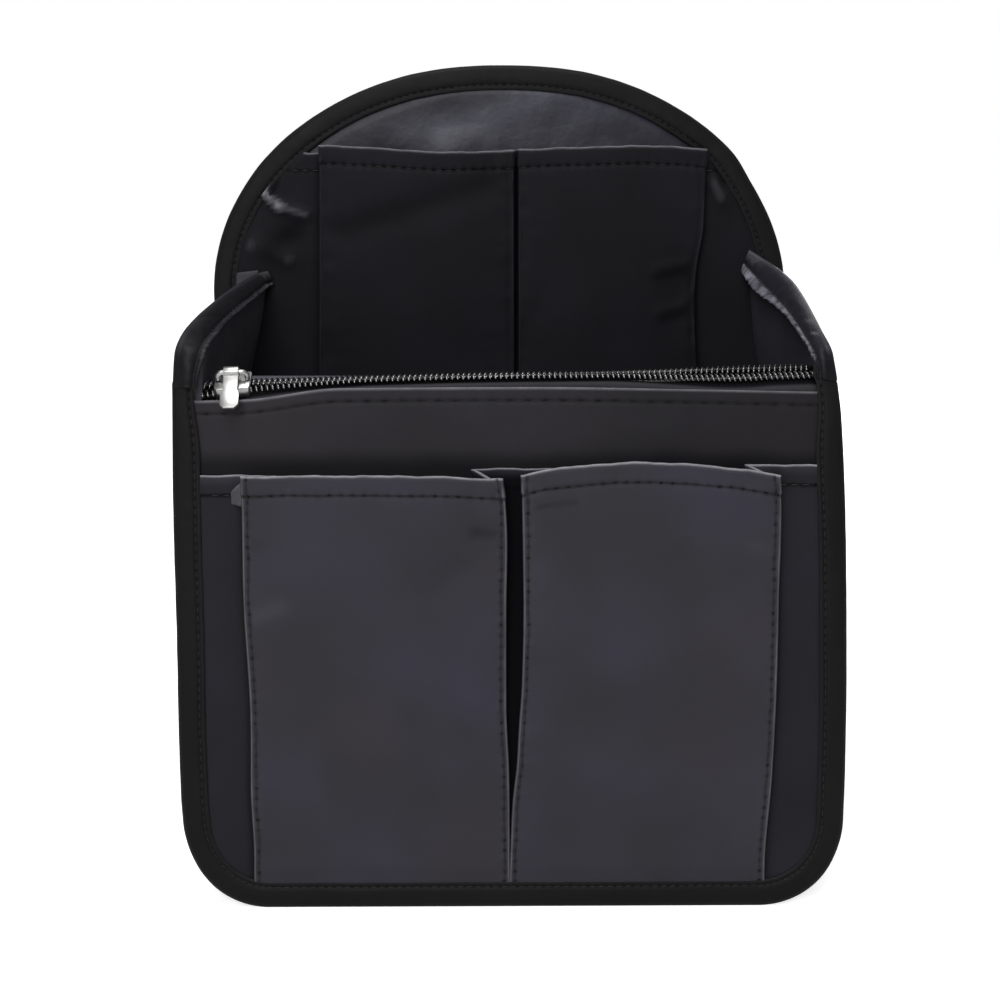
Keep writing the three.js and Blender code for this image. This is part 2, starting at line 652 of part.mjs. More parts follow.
function crown() {
  const at = (x, z) => new THREE.Vector3(x, 0, z);
  const leg = CROWN_LENGTH / 2;
  const bar = leg - CROWN_BEND; // half the straight top
  const shoulder = barHeight - CROWN_BEND;
  const path = new THREE.CurvePath();
  path.add(new THREE.LineCurve3(at(-leg, plateTop + GAP), at(-leg, shoulder)));
  path.add(new THREE.QuadraticBezierCurve3(at(-leg, shoulder), at(-leg, barHeight), at(-bar, barHeight)));
  path.add(new THREE.LineCurve3(at(-bar, barHeight), at(bar, barHeight)));
  path.add(new THREE.QuadraticBezierCurve3(at(bar, barHeight), at(leg, barHeight), at(leg, shoulder)));
  path.add(new THREE.LineCurve3(at(leg, shoulder), at(leg, plateTop + GAP)));
  const section = new THREE.Shape().absarc(0, 0, CROWN_RADIUS, 0, 2 * Math.PI);
  return new THREE.ExtrudeGeometry(section, {
    steps: 26,
    curveSegments: 5,
    bevelEnabled: false,
    extrudePath: path,
  });
}

// Pull: a knuckle round the crown's bar with a waisted tab, drawn hanging along -z.
function pull() {
  const bore = CROWN_RADIUS + KNUCKLE_CLEARANCE;
  const outer = bore + KNUCKLE_WALL;
  const ring = new THREE.Shape().absarc(0, 0, outer, 0, 2 * Math.PI);
  ring.holes.push(new THREE.Path().absarc(0, 0, bore, 0, 2 * Math.PI));
  const knuckle = new THREE.ExtrudeGeometry(ring, {
    depth: KNUCKLE_LENGTH,
    bevelEnabled: false,
    curveSegments: 9,
  });
  knuckle.translate(0, 0, -KNUCKLE_LENGTH / 2).rotateY(Math.PI / 2);
  const half = PULL_WIDTH / 2;
  const neck = PULL_NECK / 2;
  const waist = -0.5 * PULL_LENGTH;
  const corner = 0.2 * PULL_WIDTH;
  const tab = new THREE.Shape();
  tab.moveTo(-KNUCKLE_LENGTH / 2, -bore - KNUCKLE_WALL / 2);
  tab.lineTo(-neck, waist);
  tab.quadraticCurveTo(-half, waist - corner, -half, waist - 2 * corner);
  tab.lineTo(-half, -PULL_LENGTH + corner);
  tab.lineTo(-half + corner, -PULL_LENGTH);
  tab.lineTo(half - corner, -PULL_LENGTH);
  tab.lineTo(half, -PULL_LENGTH + corner);
  tab.lineTo(half, waist - 2 * corner);
  tab.quadraticCurveTo(half, waist - corner, neck, waist);
  tab.lineTo(KNUCKLE_LENGTH / 2, -bore - KNUCKLE_WALL / 2);
  const blade = new THREE.ExtrudeGeometry(tab, {
    depth: PULL_THICKNESS,
    bevelEnabled: false,
    curveSegments: 4,
  });
  blade.translate(0, 0, -PULL_THICKNESS / 2).rotateX(Math.PI / 2);
  return geometryFrom(solidFrom(knuckle).add(solidFrom(blade)));
}

const slider = new THREE.Group();
slider.position.x = -zipHalf + SLIDER_REST + SLIDER_LENGTH / 2;
const pullMesh = part("zip_pull", pull(), nickel);
pullMesh.position.z = barHeight;
pullMesh.rotation.x = -PULL_REST;
slider.add(
  part("zip_slider_body", sliderBody(), nickel),
  part("zip_slider_crown", crown(), nickel),
  pullMesh,
);
zip.add(slider);
zipSlant.add(zip);
frontWall.add(zipSlant);

const organizer = new THREE.Group();
organizer.add(
  backWall,
  frontWall,
  part("gusset", gusset(), nylon),
  part("left_side_binding", sideBinding(1), bindingTape),
  part("right_side_binding", sideBinding(-1), bindingTape),
);

// The origin lies under the middle of the bag, whatever its pockets and bindings measure.
const extent = new THREE.Box3().setFromObject(organizer, true);
organizer.position.y = -(extent.min.y + extent.max.y) / 2;

export default organizer;
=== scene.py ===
"""A soft black nylon bag organizer: its cloth, tapes, thread, zip and the studio it is shown in."""

import logging
import math
from dataclasses import dataclass, field
from enum import Enum
from typing import Callable, NamedTuple, Optional, Sequence, Union

import bmesh
import bpy
from mathutils import Matrix, Vector, noise


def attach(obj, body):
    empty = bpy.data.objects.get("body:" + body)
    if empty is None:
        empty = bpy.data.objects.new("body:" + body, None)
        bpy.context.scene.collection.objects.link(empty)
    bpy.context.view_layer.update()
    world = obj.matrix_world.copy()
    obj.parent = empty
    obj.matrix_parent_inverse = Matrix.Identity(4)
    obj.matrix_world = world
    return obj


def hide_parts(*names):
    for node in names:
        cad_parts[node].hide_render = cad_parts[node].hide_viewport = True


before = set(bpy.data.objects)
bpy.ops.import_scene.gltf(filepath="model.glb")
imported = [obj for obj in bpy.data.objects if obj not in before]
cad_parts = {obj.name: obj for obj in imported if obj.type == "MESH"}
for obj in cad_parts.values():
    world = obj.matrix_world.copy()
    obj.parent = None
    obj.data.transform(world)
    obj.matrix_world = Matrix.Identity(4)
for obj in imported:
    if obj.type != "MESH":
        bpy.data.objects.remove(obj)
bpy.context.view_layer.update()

MM = 0.001
LOG = logging.getLogger("organizer")


class Body(Enum):
    """The moving bodies of the bag."""

    BAG = "bag"
    SLIDER = "slider"
    PULL = "pull"


class Slot(Enum):
    """The record's material slots."""

    NYLON = "nylon"
    LINING = "lining"
    BINDING = "binding"
    ZIP_TAPE = "zip_tape"
    ZIP_COIL = "zip_coil"
    NICKEL = "nickel"


class Side(Enum):
    """Left and right as seen from the front, with the sign of their x."""

    LEFT = -1
    RIGHT = 1


class Weave(Enum):
    """How a cloth's threads cross."""

    PLAIN = "plain"
    TWILL = "twill"


class Hold(Enum):
    """How a sheet is held."""

    STRETCHED = "stretched"
    FOLDED = "folded"


def smoothstep(low: float, high: float, value: float) -> float:
    """Rises smoothly from 0 at low to 1 at high."""
    share = min(1.0, max(0.0, (value - low) / (high - low)))
    return share * share * (3.0 - 2.0 * share)


def bell(value: float, width: float) -> float:
    """A rounded bump of height 1 at zero that fades over the width."""
    return math.exp(-((value / width) ** 2))


def lerp(low: float, high: float, share: float) -> float:
    """The value at that share of the way from low to high."""
    return low + (high - low) * share


def ripple(a: float, b: float, seed: float) -> float:
    """Smooth seeded noise from about -1 to 1 over a plane."""
    return noise.noise(Vector((a, b, seed * 7.31)))


def slope(points: Sequence[tuple[float, float]], index: int) -> float:
    """How steeply a smooth curve passes one of its points; it is level on a crest or in a hollow."""
    near = points[max(0, index - 1) : index + 2]
    rates = [(q[1] - p[1]) / (q[0] - p[0]) for p, q in zip(near, near[1:])]
    if len(rates) == 1:
        return rates[0]
    before, after = rates
    return 2.0 * before * after / (before + after) if before * after > 0.0 else 0.0


def curve(points: Sequence[tuple[float, float]], at: float) -> float:
    """Reads a smooth curve through a few points.

    Args:
        points: pairs of place and value, in order of place.
        at: the place to read.

    Returns:
        The value there; beyond the ends it keeps the end's value.
    """
    if at <= points[0][0]:
        return points[0][1]
    for index, ((a, low), (b, high)) in enumerate(zip(points, points[1:])):
        if at <= b:
            t = (at - a) / (b - a)
            lean = slope(points, index) * (1.0 - t) - slope(points, index + 1) * t
            return lerp(low, high, smoothstep(0.0, 1.0, t)) + (b - a) * t * (1.0 - t) * lean
    return points[-1][1]


def steps(low: float, high: float, size: float) -> list[float]:
    """Evenly spaced stations from low to high, no further apart than size."""
    count = max(1, math.ceil((high - low) / size))
    return [lerp(low, high, i / count) for i in range(count + 1)]


def run_lengths(points: Sequence[Sequence[float]]) -> list[float]:
    """Length along a line at each of its points, from 0 at the first."""
    lengths = [0.0]
    for a, b in zip(points, points[1:]):
        lengths.append(lengths[-1] + math.dist(a, b))
    return lengths


# Materials


def linear(colour: tuple[int, int, int]) -> tuple[float, float, float, float]:
    """Turns a screen colour of 0 to 255 into the renderer's linear one."""
    shares = [c / 255 for c in colour]
    return (*[s / 12.92 if s <= 0.04045 else ((s + 0.055) / 1.055) ** 2.4 for s in shares], 1.0)


Number = Union[float, "Value"]


class Value:
    """An output of a node graph that takes part in Python sums."""

    def __init__(self, graph: "Graph", socket: bpy.types.NodeSocket) -> None:
        self.graph = graph
        self.socket = socket

    def __add__(self, other: Number) -> "Value":
        """Sum."""
        return self.graph.math("ADD", self, other)

    def __sub__(self, other: Number) -> "Value":
        """Difference."""
        return self.graph.math("SUBTRACT", self, other)

    def __rsub__(self, other: Number) -> "Value":
        """Difference from a number."""
        return self.graph.math("SUBTRACT", other, self)

    def __mul__(self, other: Number) -> "Value":
        """Product."""
        return self.graph.math("MULTIPLY", self, other)

    def __truediv__(self, other: Number) -> "Value":
        """Quotient."""
        return self.graph.math("DIVIDE", self, other)

    def __pow__(self, other: Number) -> "Value":
        """Power."""
        return self.graph.math("POWER", self, other)

    def __neg__(self) -> "Value":
        """Opposite."""
        return self.graph.math("MULTIPLY", self, -1.0)

    def sin(self) -> "Value":
        """Sine of the value in radians."""
        return self.graph.math("SINE", self)

    def exp(self) -> "Value":
        """e to the power of the value."""
        return self.graph.math("EXPONENT", self)

    def clamp(self) -> "Value":
        """The value held between 0 and 1."""
        return self.graph.math("MINIMUM", self.graph.math("MAXIMUM", self, 0.0), 1.0)


class Graph:
    """A material and its nodes."""

    def __init__(self, name: str) -> None:
        self.material = bpy.data.materials.new(name)
        self.material.use_nodes = True
        self.tree = self.material.node_tree
        self.tree.nodes.clear()

    def node(
        self,
        kind: str,
        settings: Optional[dict[str, object]] = None,
        sockets: Optional[dict[Union[str, int], object]] = None,
    ) -> bpy.types.Node:
        """Makes a node.

        Args:
            kind: Blender's node type.
            settings: options, set before the inputs.
            sockets: inputs by name or place, each a constant or a Value to link.

        Returns:
            The new node.
        """
        made = self.tree.nodes.new(kind)
        for name, value in (settings or {}).items():
            setattr(made, name, value)
        for name, value in (sockets or {}).items():
            if isinstance(value, Value):
                self.tree.links.new(value.socket, made.inputs[name])
            else:
                made.inputs[name].default_value = value
        return made

    def out(self, made: bpy.types.Node, name: Union[str, int] = 0) -> Value:
        """One output of a node as a Value."""
        return Value(self, made.outputs[name])

    def math(self, operation: str, *values: Number) -> Value:
        """A sum of one or two values."""
        made = self.node("ShaderNodeMath", {"operation": operation}, dict(enumerate(values)))
        return self.out(made)

    def mix(self, share: Number, low: object, high: object) -> Value:
        """Blends two colours."""
        sockets = {0: share, 6: low, 7: high}
        made = self.node("ShaderNodeMix", {"data_type": "RGBA"}, sockets)
        return self.out(made, 2)

    def coordinates(self, output: str) -> Value:
        """A set of texture coordinates, as UV or Object."""
        return self.out(self.node("ShaderNodeTexCoord"), output)

    def axes(self, vector: Value) -> tuple[Value, Value, Value]:
        """The three parts of a vector."""
        made = self.node("ShaderNodeSeparateXYZ", sockets={0: vector})
        return self.out(made, 0), self.out(made, 1), self.out(made, 2)

    def cloud(self, vector: Value, size: float, detail: float = 2.0) -> Value:
        """Soft noise of 0 to 1 whose features have that size in the vector's own unit."""
        sockets = {"Vector": vector, "Scale": 1.0 / size, "Detail": detail, "Roughness": 0.55}
        return self.out(self.node("ShaderNodeTexNoise", sockets=sockets), "Fac")

    def attribute(self, name: str) -> Value:
        """A number stored on the mesh's points."""
        made = self.node("ShaderNodeAttribute", {"attribute_name": name})
        return self.out(made, "Fac")

    def bump(self, height: Value, depth: float, under: Optional[Value] = None) -> Value:
        """Turns a height of 0 to 1 into a normal, over an earlier bump if there is one."""
        sockets: dict[Union[str, int], object] = {"Height": height, "Distance": depth, "Strength": 1.0}
        if under is not None:
            sockets["Normal"] = under
        return self.out(self.node("ShaderNodeBump", sockets=sockets), "Normal")

    def finish(self, kind: str, sockets: dict[Union[str, int], object]) -> bpy.types.Material:
        """Puts a shader on the material's output.

        Args:
            kind: the shader's node type.
            sockets: its inputs.

        Returns:
            The finished material.
        """
        shader = self.out(self.node(kind, sockets=sockets))
        self.node("ShaderNodeOutputMaterial", sockets={"Surface": shader})
        return self.material


@dataclass(frozen=True)
class ClothFinish:
    """Woven cloth, in the flat millimetres of its UV map.

    Attributes:
        name: the material's name.
        colour: screen colour of the cloth.
        tint: screen colour of its broad paler patches, which are random tone and partly painted sheen.
        edge: screen colour of painted highlights on folds and crests, and of rubbed cut edges.
        weave: how its threads cross.
        pitch: thread spacing in mm.
        relief: height of the threads in mm.
        crumple: height of fine creases in mm.
        gather: how strongly stitches gather the cloth, against its creases.
        hole: how dark the painted shade in the needle's holes is.
        gather_shade: how dark the painted shade in the hollows between gathers is.
        warm: screen colour of its broad warmer patches.
        roughness: mean roughness.
        sheen: strength of the fuzzy sheen.
        gloss: specular level.
    """

    name: str
    colour: tuple[int, int, int]
    tint: tuple[int, int, int]
    edge: tuple[int, int, int]
    weave: Weave = Weave.PLAIN
    pitch: float = 0.5
    relief: float = 0.02
    crumple: float = 0.12
    roughness: float = 0.6
    sheen: float = 0.02
    gloss: float = 0.14
    gather: float = 0.6
    hole: float = 0.5
    gather_shade: float = 0.16
    warm: tuple[int, int, int] = (0, 0, 0)

    def row(self, graph: Graph, name: str) -> tuple[Value, Value]:
        """How much of a needle hole, and of a pucker between holes, a row of stitches makes."""
        off = graph.attribute(name)
        needle = (graph.attribute(f"{name}_run") * (2 * math.pi) + math.pi / 2).sin() * 0.5 + 0.5
        return (off * off * -4.5).exp() * needle**4.0, (off * off * -0.55).exp() * (1.0 - needle)

    def threads(self, graph: Graph, across: Value, along: Value) -> Value:
        """Height of the threads, from 0 to 1."""
        turn = 2 * math.pi / self.pitch
        if self.weave is Weave.TWILL:
            return ((across + along) * (turn / 2)).sin() * 0.5 + 0.5
        return (across * turn).sin() * (along * turn).sin() * 0.5 + 0.5

    def material(self) -> bpy.types.Material:
        """Builds the material."""
        graph = Graph(self.name)
        place = graph.coordinates("UV")
        across, along, _ = graph.axes(place)
        threads = self.threads(graph, across, along)
        broad = graph.cloud(place, 46.0)
        fine = graph.cloud(place, 5.0, 4.0)
        # light_and_wear: above zero a painted highlight on folds, edges and crests, with some real rubbing;
        # below zero painted shade.
        light_and_wear = graph.attribute("light_and_wear")
        hem_hole, hem_pucker = self.row(graph, "hem_row")
        edge_hole, edge_pucker = self.row(graph, "edge_row")
        # Painted shade in the needle holes and in the hollows between gathers.
        hole = (hem_hole + edge_hole) * ((graph.cloud(place, 3.6, 1.0) - 0.3) * 3.0).clamp()
        pucker = (hem_pucker + edge_pucker) * (fine * 1.6 - 0.1).clamp()
        patchy = ((graph.cloud(place, 7.0, 2.0) - 0.4) * 4.0).clamp()
        highlight_and_rub = light_and_wear.clamp() * (threads * 0.5 + fine * 0.7)
        shadow = (-light_and_wear).clamp()
        painted_shade = shadow + hole * self.hole + (hem_pucker + edge_pucker) * patchy * self.gather_shade
        # Broad paler patches: random tone, partly painted sheen of the satin.
        patches = ((broad - 0.36) * 2.4).clamp() * 0.8 + (fine - 0.5) * 0.3
        cloth = graph.mix(patches.clamp(), linear(self.colour), linear(self.tint))
        if any(self.warm):
            sun = ((graph.cloud(place, 67.0, 1.0) - 0.5) * 3.0).clamp() * 0.7
            cloth = graph.mix(sun, cloth, linear(self.warm))
        # Painted highlight and rubbing towards the edge colour; the puckers' crests get a faint painted
        # highlight.
        highlighted_and_worn = graph.mix((highlight_and_rub + pucker * 0.03).clamp(), cloth, linear(self.edge))
        # Painted shade: mixes towards near black in shaded hollows, needle holes and between threads.
        shade = graph.mix((painted_shade + (0.5 - threads) * 0.12).clamp(), highlighted_and_worn, (0.0012, 0.0012, 0.0014, 1.0))
        creases = graph.cloud(place, 9.0, 3.0)
        under = graph.bump(creases + pucker * self.gather - hole * 1.5, self.crumple * MM)
        normal = graph.bump(threads, self.relief * MM, under)
        cloth_shader = graph.node(
            "ShaderNodeBsdfPrincipled",
            sockets={
                "Base Color": shade,
                "Roughness": (fine - 0.5) * 0.16 + self.roughness - highlight_and_rub * 0.1,
                "Normal": normal,
                "Specular IOR Level": self.gloss,
                "Sheen Weight": self.sheen,
                "Sheen Roughness": 0.45,
                "Sheen Tint": linear((205, 205, 225)),
            },
        )
        # A near-black diffuse shader that stands in for deep painted shade, mixed in by the shadow share.
        hidden = graph.node("ShaderNodeBsdfDiffuse", sockets={"Color": (0.0048, 0.0046, 0.0058, 1.0)})
        shaders = {0: shadow, 1: graph.out(cloth_shader), 2: graph.out(hidden)}
        return graph.finish("ShaderNodeMixShader", shaders)


@dataclass(frozen=True)
class ThreadFinish:
    """Twisted sewing thread."""

    name: str
    colour: tuple[int, int, int]

    def material(self) -> bpy.types.Material:
        """Builds the material."""
        graph = Graph(self.name)
        place = graph.coordinates("Object")
        x, y, z = graph.axes(place)
        twist = ((x + y + z) * (2 * math.pi / (0.55 * MM))).sin() * 0.5 + 0.5
        fuzz = graph.cloud(place, 2.0 * MM, 3.0)
        dark = tuple(int(c * 0.5) for c in self.colour)
        shade = graph.mix((twist * 0.6 + fuzz * 0.4).clamp(), linear(dark), linear(self.colour))
        return graph.finish(
            "ShaderNodeBsdfPrincipled",
            {
                "Base Color": shade,
                "Roughness": fuzz * 0.2 + 0.5,
                "Normal": graph.bump(twist, 0.03 * MM),
                "Sheen Weight": 0.15,
                "Specular IOR Level": 0.3,
            },
        )


@dataclass(frozen=True)
class PlasticFinish:
    """Moulded or sheet plastic."""

    name: str
    colour: tuple[int, int, int]
    roughness: float
    grain: float
    gloss: float = 0.6
    index: float = 1.5

    def material(self) -> bpy.types.Material:
        """Builds the material."""
        graph = Graph(self.name)
        place = graph.coordinates("Object")
        blotch = graph.cloud(place, 6.0 * MM, 3.0)
        speck = graph.cloud(place, 0.5 * MM, 2.0)
        pale = tuple(min(255, int(c * 1.25) + 3) for c in self.colour)
        return graph.finish(
            "ShaderNodeBsdfPrincipled",
            {
                "Base Color": graph.mix(blotch, linear(self.colour), linear(pale)),
                "Roughness": (blotch - 0.5) * 0.12 + self.roughness,
                "Normal": graph.bump(speck, self.grain * MM),
                "Specular IOR Level": self.gloss,
                "IOR": self.index,
            },
        )


@dataclass(frozen=True)
class MetalFinish:
    """Plated metal with fine scratches."""

    name: str
    colour: tuple[int, int, int]
    roughness: float

    def material(self) -> bpy.types.Material:
        """Builds the material."""
        graph = Graph(self.name)
        place = graph.coordinates("Object")
        x, y, z = graph.axes(place)
        stretched = graph.out(
            graph.node("ShaderNodeCombineXYZ", sockets={0: x * 0.2, 1: y, 2: z * 2.0})
        )
        scratch = graph.cloud(stretched, 0.35 * MM, 4.0)
        smear = graph.cloud(place, 3.0 * MM, 2.0)
        dull = tuple(int(c * 0.8) for c in self.colour)
        return graph.finish(
            "ShaderNodeBsdfPrincipled",
            {
                "Base Color": graph.mix(smear, linear(dull), linear(self.colour)),
                "Metallic": 1.0,
                "Roughness": scratch * 0.16 + smear * 0.08 + self.roughness - 0.1,
                "Normal": graph.bump(scratch, 0.012 * MM),
            },
        )


POCKET_NYLON = ClothFinish(
    "pocket_nylon", (43, 42, 47), (53, 52, 65), (165, 163, 168), crumple=0.2, hole=0.7, gather_shade=0.26,
    warm=(54, 50, 53),
)
# The pockets' nylon made darker: painted shade on the shell, which lies back behind the pockets.
SHADED_SHELL_NYLON = ClothFinish(
    "shaded_shell_nylon", (31, 29, 33), (39, 37, 42), (130, 128, 134), hole=0.8, warm=(40, 35, 38)
)
# The pockets' nylon made darker still: painted shade on the inner pockets inside the bag.
SHADED_INNER_NYLON = ClothFinish(
    "shaded_inner_nylon", (19, 18, 22), (26, 25, 31), (150, 148, 156), gloss=0.08, hole=0.25, gather=0.4
)
GUSSET_NYLON = ClothFinish("gusset_nylon", (42, 41, 47), (56, 55, 62), (90, 88, 96), gloss=0.16)
LINING_CLOTH = ClothFinish(
    "coated_lining", (38, 37, 46), (58, 57, 70), (110, 110, 124), relief=0.012, crumple=0.4, roughness=0.38,
    gloss=0.22,
)
BINDING_TAPE = ClothFinish(
    "binding_tape", (16, 16, 17), (21, 21, 22), (70, 69, 74), Weave.TWILL, pitch=0.55, relief=0.012,
    crumple=0.1, roughness=0.5, gloss=0.09, gather=0.25, hole=0.15,
)
LEFT_TAIL_TAPE = ClothFinish(
    "left_side_tape", (18, 18, 20), (27, 26, 30), (120, 117, 128), Weave.TWILL, pitch=0.55, crumple=0.16,
    roughness=0.45, sheen=0.03, gather=0.4, hole=0.3,
)
# The same tape as the left side's, made lighter and more purple: painted sheen on the right side's tape.
LIT_RIGHT_TAIL_TAPE = ClothFinish(
    "right_side_tape", (22, 21, 26), (38, 36, 45), (165, 162, 176), Weave.TWILL, pitch=0.55, crumple=0.2,
    roughness=0.45, sheen=0.04, gloss=0.16, gather=0.4, hole=0.3,
)
WOVEN_ZIP_TAPE = ClothFinish(
    "zip_tape_weave", (44, 43, 46), (54, 53, 56), (80, 80, 84), Weave.TWILL, pitch=0.7, relief=0.04,
    crumple=0.05, roughness=0.7, gloss=0.12,
)
DARK_THREAD = ThreadFinish("dark_thread", (16, 16, 17))
BINDING_THREAD = ThreadFinish("binding_thread", (26, 26, 28))
COIL_PLASTIC = PlasticFinish("coil_nylon", (22, 22, 23), roughness=0.14, grain=0.004, gloss=1.0, index=1.85)
BOARD_PLASTIC = PlasticFinish("stiff_board", (214, 213, 208), roughness=0.5, grain=0.02)
NICKEL = MetalFinish("bright_nickel", (196, 195, 194), roughness=0.3)

Finish = Union[ClothFinish, ThreadFinish, PlasticFinish, MetalFinish]


class Wardrobe:
    """Builds each finish once."""

    def __init__(self) -> None:
        self.made: dict[str, bpy.types.Material] = {}

    def material(self, finish: Finish) -> bpy.types.Material:
        """The material of a finish."""
        if finish.name not in self.made:
            self.made[finish.name] = finish.material()
        return self.made[finish.name]


# Meshes


@dataclass(frozen=True)
class BagSizes:
    """Sizes of the bag in mm, in the frame of its solid parts.

    Attributes:
        half_width: half of the walls' width.
        spring: height at which the back wall's arch starts.
        arch_rise: height of the arch.
        corner: radius of the lower corners.
        lean: angle by which the front wall leans back.
        taper: how much narrower each side of the front wall is at the top.
        front_top: top of the gusset along the front wall.
        gusset_back: top of the gusset at the back wall.
        front_y: outer face of the front wall at the table.
        back_y: outer face of the back wall.
        field_y: inner face of the back wall's lining.
    """

    half_width: float = 105.0
    spring: float = 189.5
    arch_rise: float = 81.0
    corner: float = 28.0
    lean: float = math.radians(5.0)
    taper: float = 2.0
    front_top: float = 178.0
    gusset_back: float = 198.0
    front_y: float = -49.74
    back_y: float = 50.26
    field_y: float = 48.06

    def front_half(self, height: float) -> float:
        """Half-width of the front wall at a height along it."""
        if height < self.corner:
            below = self.corner - max(0.0, height)
            return self.half_width - self.corner + math.sqrt(self.corner**2 - below**2)
        return self.half_width - self.taper * (height - self.corner) / (self.front_top - self.corner)

    def back_half(self, height: float, margin: float = 0.0) -> float:
        """Half-width of the back wall at a height, drawn in by a margin."""
        rise = min(1.0, max(0.0, height - self.spring) / (self.arch_rise - margin))
        return (self.half_width - margin) * math.sqrt(1.0 - rise * rise)

    def on_front(self, x: float, inwards: float, height: float) -> Vector:
        """A point of the leaning front wall, by its distance inwards and its height along the wall."""
        sine, cosine = math.sin(self.lean), math.cos(self.lean)
        return Vector((x, self.front_y + inwards * cosine + height * sine, height * cosine - inwards * sine))

    def on_back(self, x: float, inwards: float, height: float) -> Vector:
        """A point of the back wall, by its distance inwards from the outer face."""
        return Vector((x, self.back_y - inwards, height))


@dataclass(frozen=True)
class Sway:
    """How the soft bag stands off its upright solid parts, in mm.

    Attributes:
        lean: sideways lean for each mm of height.
        left: how far the left edge moves along x, by height.
        right: how far the right edge moves along x, by height.
        sag: how far the top of the arch sinks.
    """

    lean: float = -0.0064
    left: tuple[tuple[float, float], ...] = (
        (0.0, 0.0), (18.0, 1.0), (40.0, 0.1), (90.0, -0.3), (130.0, -0.7), (165.0, -0.3), (225.0, 0.0),
        (245.0, -0.6), (258.0, -0.4), (267.0, 0.0),
    )
    right: tuple[tuple[float, float], ...] = (
        (0.0, 2.2), (20.0, 1.0), (45.0, 1.7), (80.0, 2.0), (112.0, 1.6), (139.0, 0.9), (158.0, -0.3),
        (170.0, -1.8), (180.0, -2.7), (205.0, -3.5), (228.0, -3.4), (243.0, -0.9), (252.0, 0.0),
    )
    sag: float = 1.1

    def shift(self, place: Vector) -> float:
        """Sideways move of a point."""
        edge = self.right if place.x > 0 else self.left
        still = lerp(8.0, 66.0, smoothstep(185.0, 215.0, place.z)) * (1.0 - smoothstep(238.0, 256.0, place.z))
        return self.lean * place.z + curve(edge, place.z) * smoothstep(still, 96.0, abs(place.x))

    def move(self, place: Vector) -> Vector:
        """A point of the upright bag, where the soft bag has it."""
        sunk = self.sag * smoothstep(240.0, 262.0, place.z) * bell(place.x, 24.0)
        return Vector((place.x + self.shift(place), place.y, place.z - sunk))

    def undo(self, place: Vector) -> Vector:
        """A point of the soft bag below the arch, where the upright bag has it."""
        return Vector((place.x - self.shift(place), place.y, place.z))


SIZES = BagSizes()
SWAY = Sway()
CLOTH_THICKNESS = 0.4
TAPE_THICKNESS = 0.5
Place = Callable[[float, float, float], Vector]


class Outline:
    """The edge of a wall, walked by length from the top left down, round the base and up the right."""

    def __init__(self, points: Sequence[tuple[float, float]], is_loop: bool) -> None:
        self.points = [Vector(p) for p in points]
        if is_loop:
            self.points.append(self.points[0].copy())
        self.is_loop = is_loop
        self.marks = [0.0]
        for a, b in zip(self.points, self.points[1:]):
            self.marks.append(self.marks[-1] + (b - a).length)

    @property
    def length(self) -> float:
        """Length of the whole outline."""
        return self.marks[-1]

    def point(self, distance: float) -> Vector:
        """The point after that length."""
        distance = distance % self.length if self.is_loop else min(self.length, max(0.0, distance))
        low, high = 0, len(self.marks) - 1
        while high - low > 1:
            middle = (low + high) // 2
            low, high = (middle, high) if self.marks[middle] <= distance else (low, middle)
        span = self.marks[high] - self.marks[low]
        return self.points[low].lerp(self.points[high], (distance - self.marks[low]) / span)

    def outward(self, distance: float) -> Vector:
        """The outward direction after that length."""
        reach = 1.2
        along = (self.point(distance + reach) - self.point(distance - reach)).normalized()
        return Vector((along.y, -along.x))

    @staticmethod
    def lower_corner(side: Side, count: int = 40) -> list[tuple[float, float]]:
        """Points round one lower corner, left to right."""
        centre = side.value * (SIZES.half_width - SIZES.corner)
        start = math.pi if side is Side.LEFT else 1.5 * math.pi
        turns = [start + 0.5 * math.pi * i / count for i in range(count + 1)]
        return [
            (centre + SIZES.corner * math.cos(t), SIZES.corner + SIZES.corner * math.sin(t)) for t in turns
        ]

    @classmethod
    def front(cls, top: float) -> "Outline":
        """The open outline of the front wall up to a height along it."""
        heights = steps(SIZES.corner, top, 4.0)
        down = [(-SIZES.front_half(h), h) for h in reversed(heights)]
        up = [(SIZES.front_half(h), h) for h in heights]
        return cls([*down, *cls.lower_corner(Side.LEFT), *cls.lower_corner(Side.RIGHT), *up], False)

    @classmethod
    def back(cls) -> "Outline":
        """The closed outline of the back wall."""
        turns = [math.pi * i / 160 for i in range(1, 160)]
        arch = [
            (SIZES.half_width * math.cos(t), SIZES.spring + SIZES.arch_rise * math.sin(t)) for t in turns
        ]
        base = [*cls.lower_corner(Side.LEFT), *cls.lower_corner(Side.RIGHT)]
        left, right = (-SIZES.half_width, SIZES.spring), (SIZES.half_width, SIZES.spring)
        return cls([left, *base, right, *arch], True)


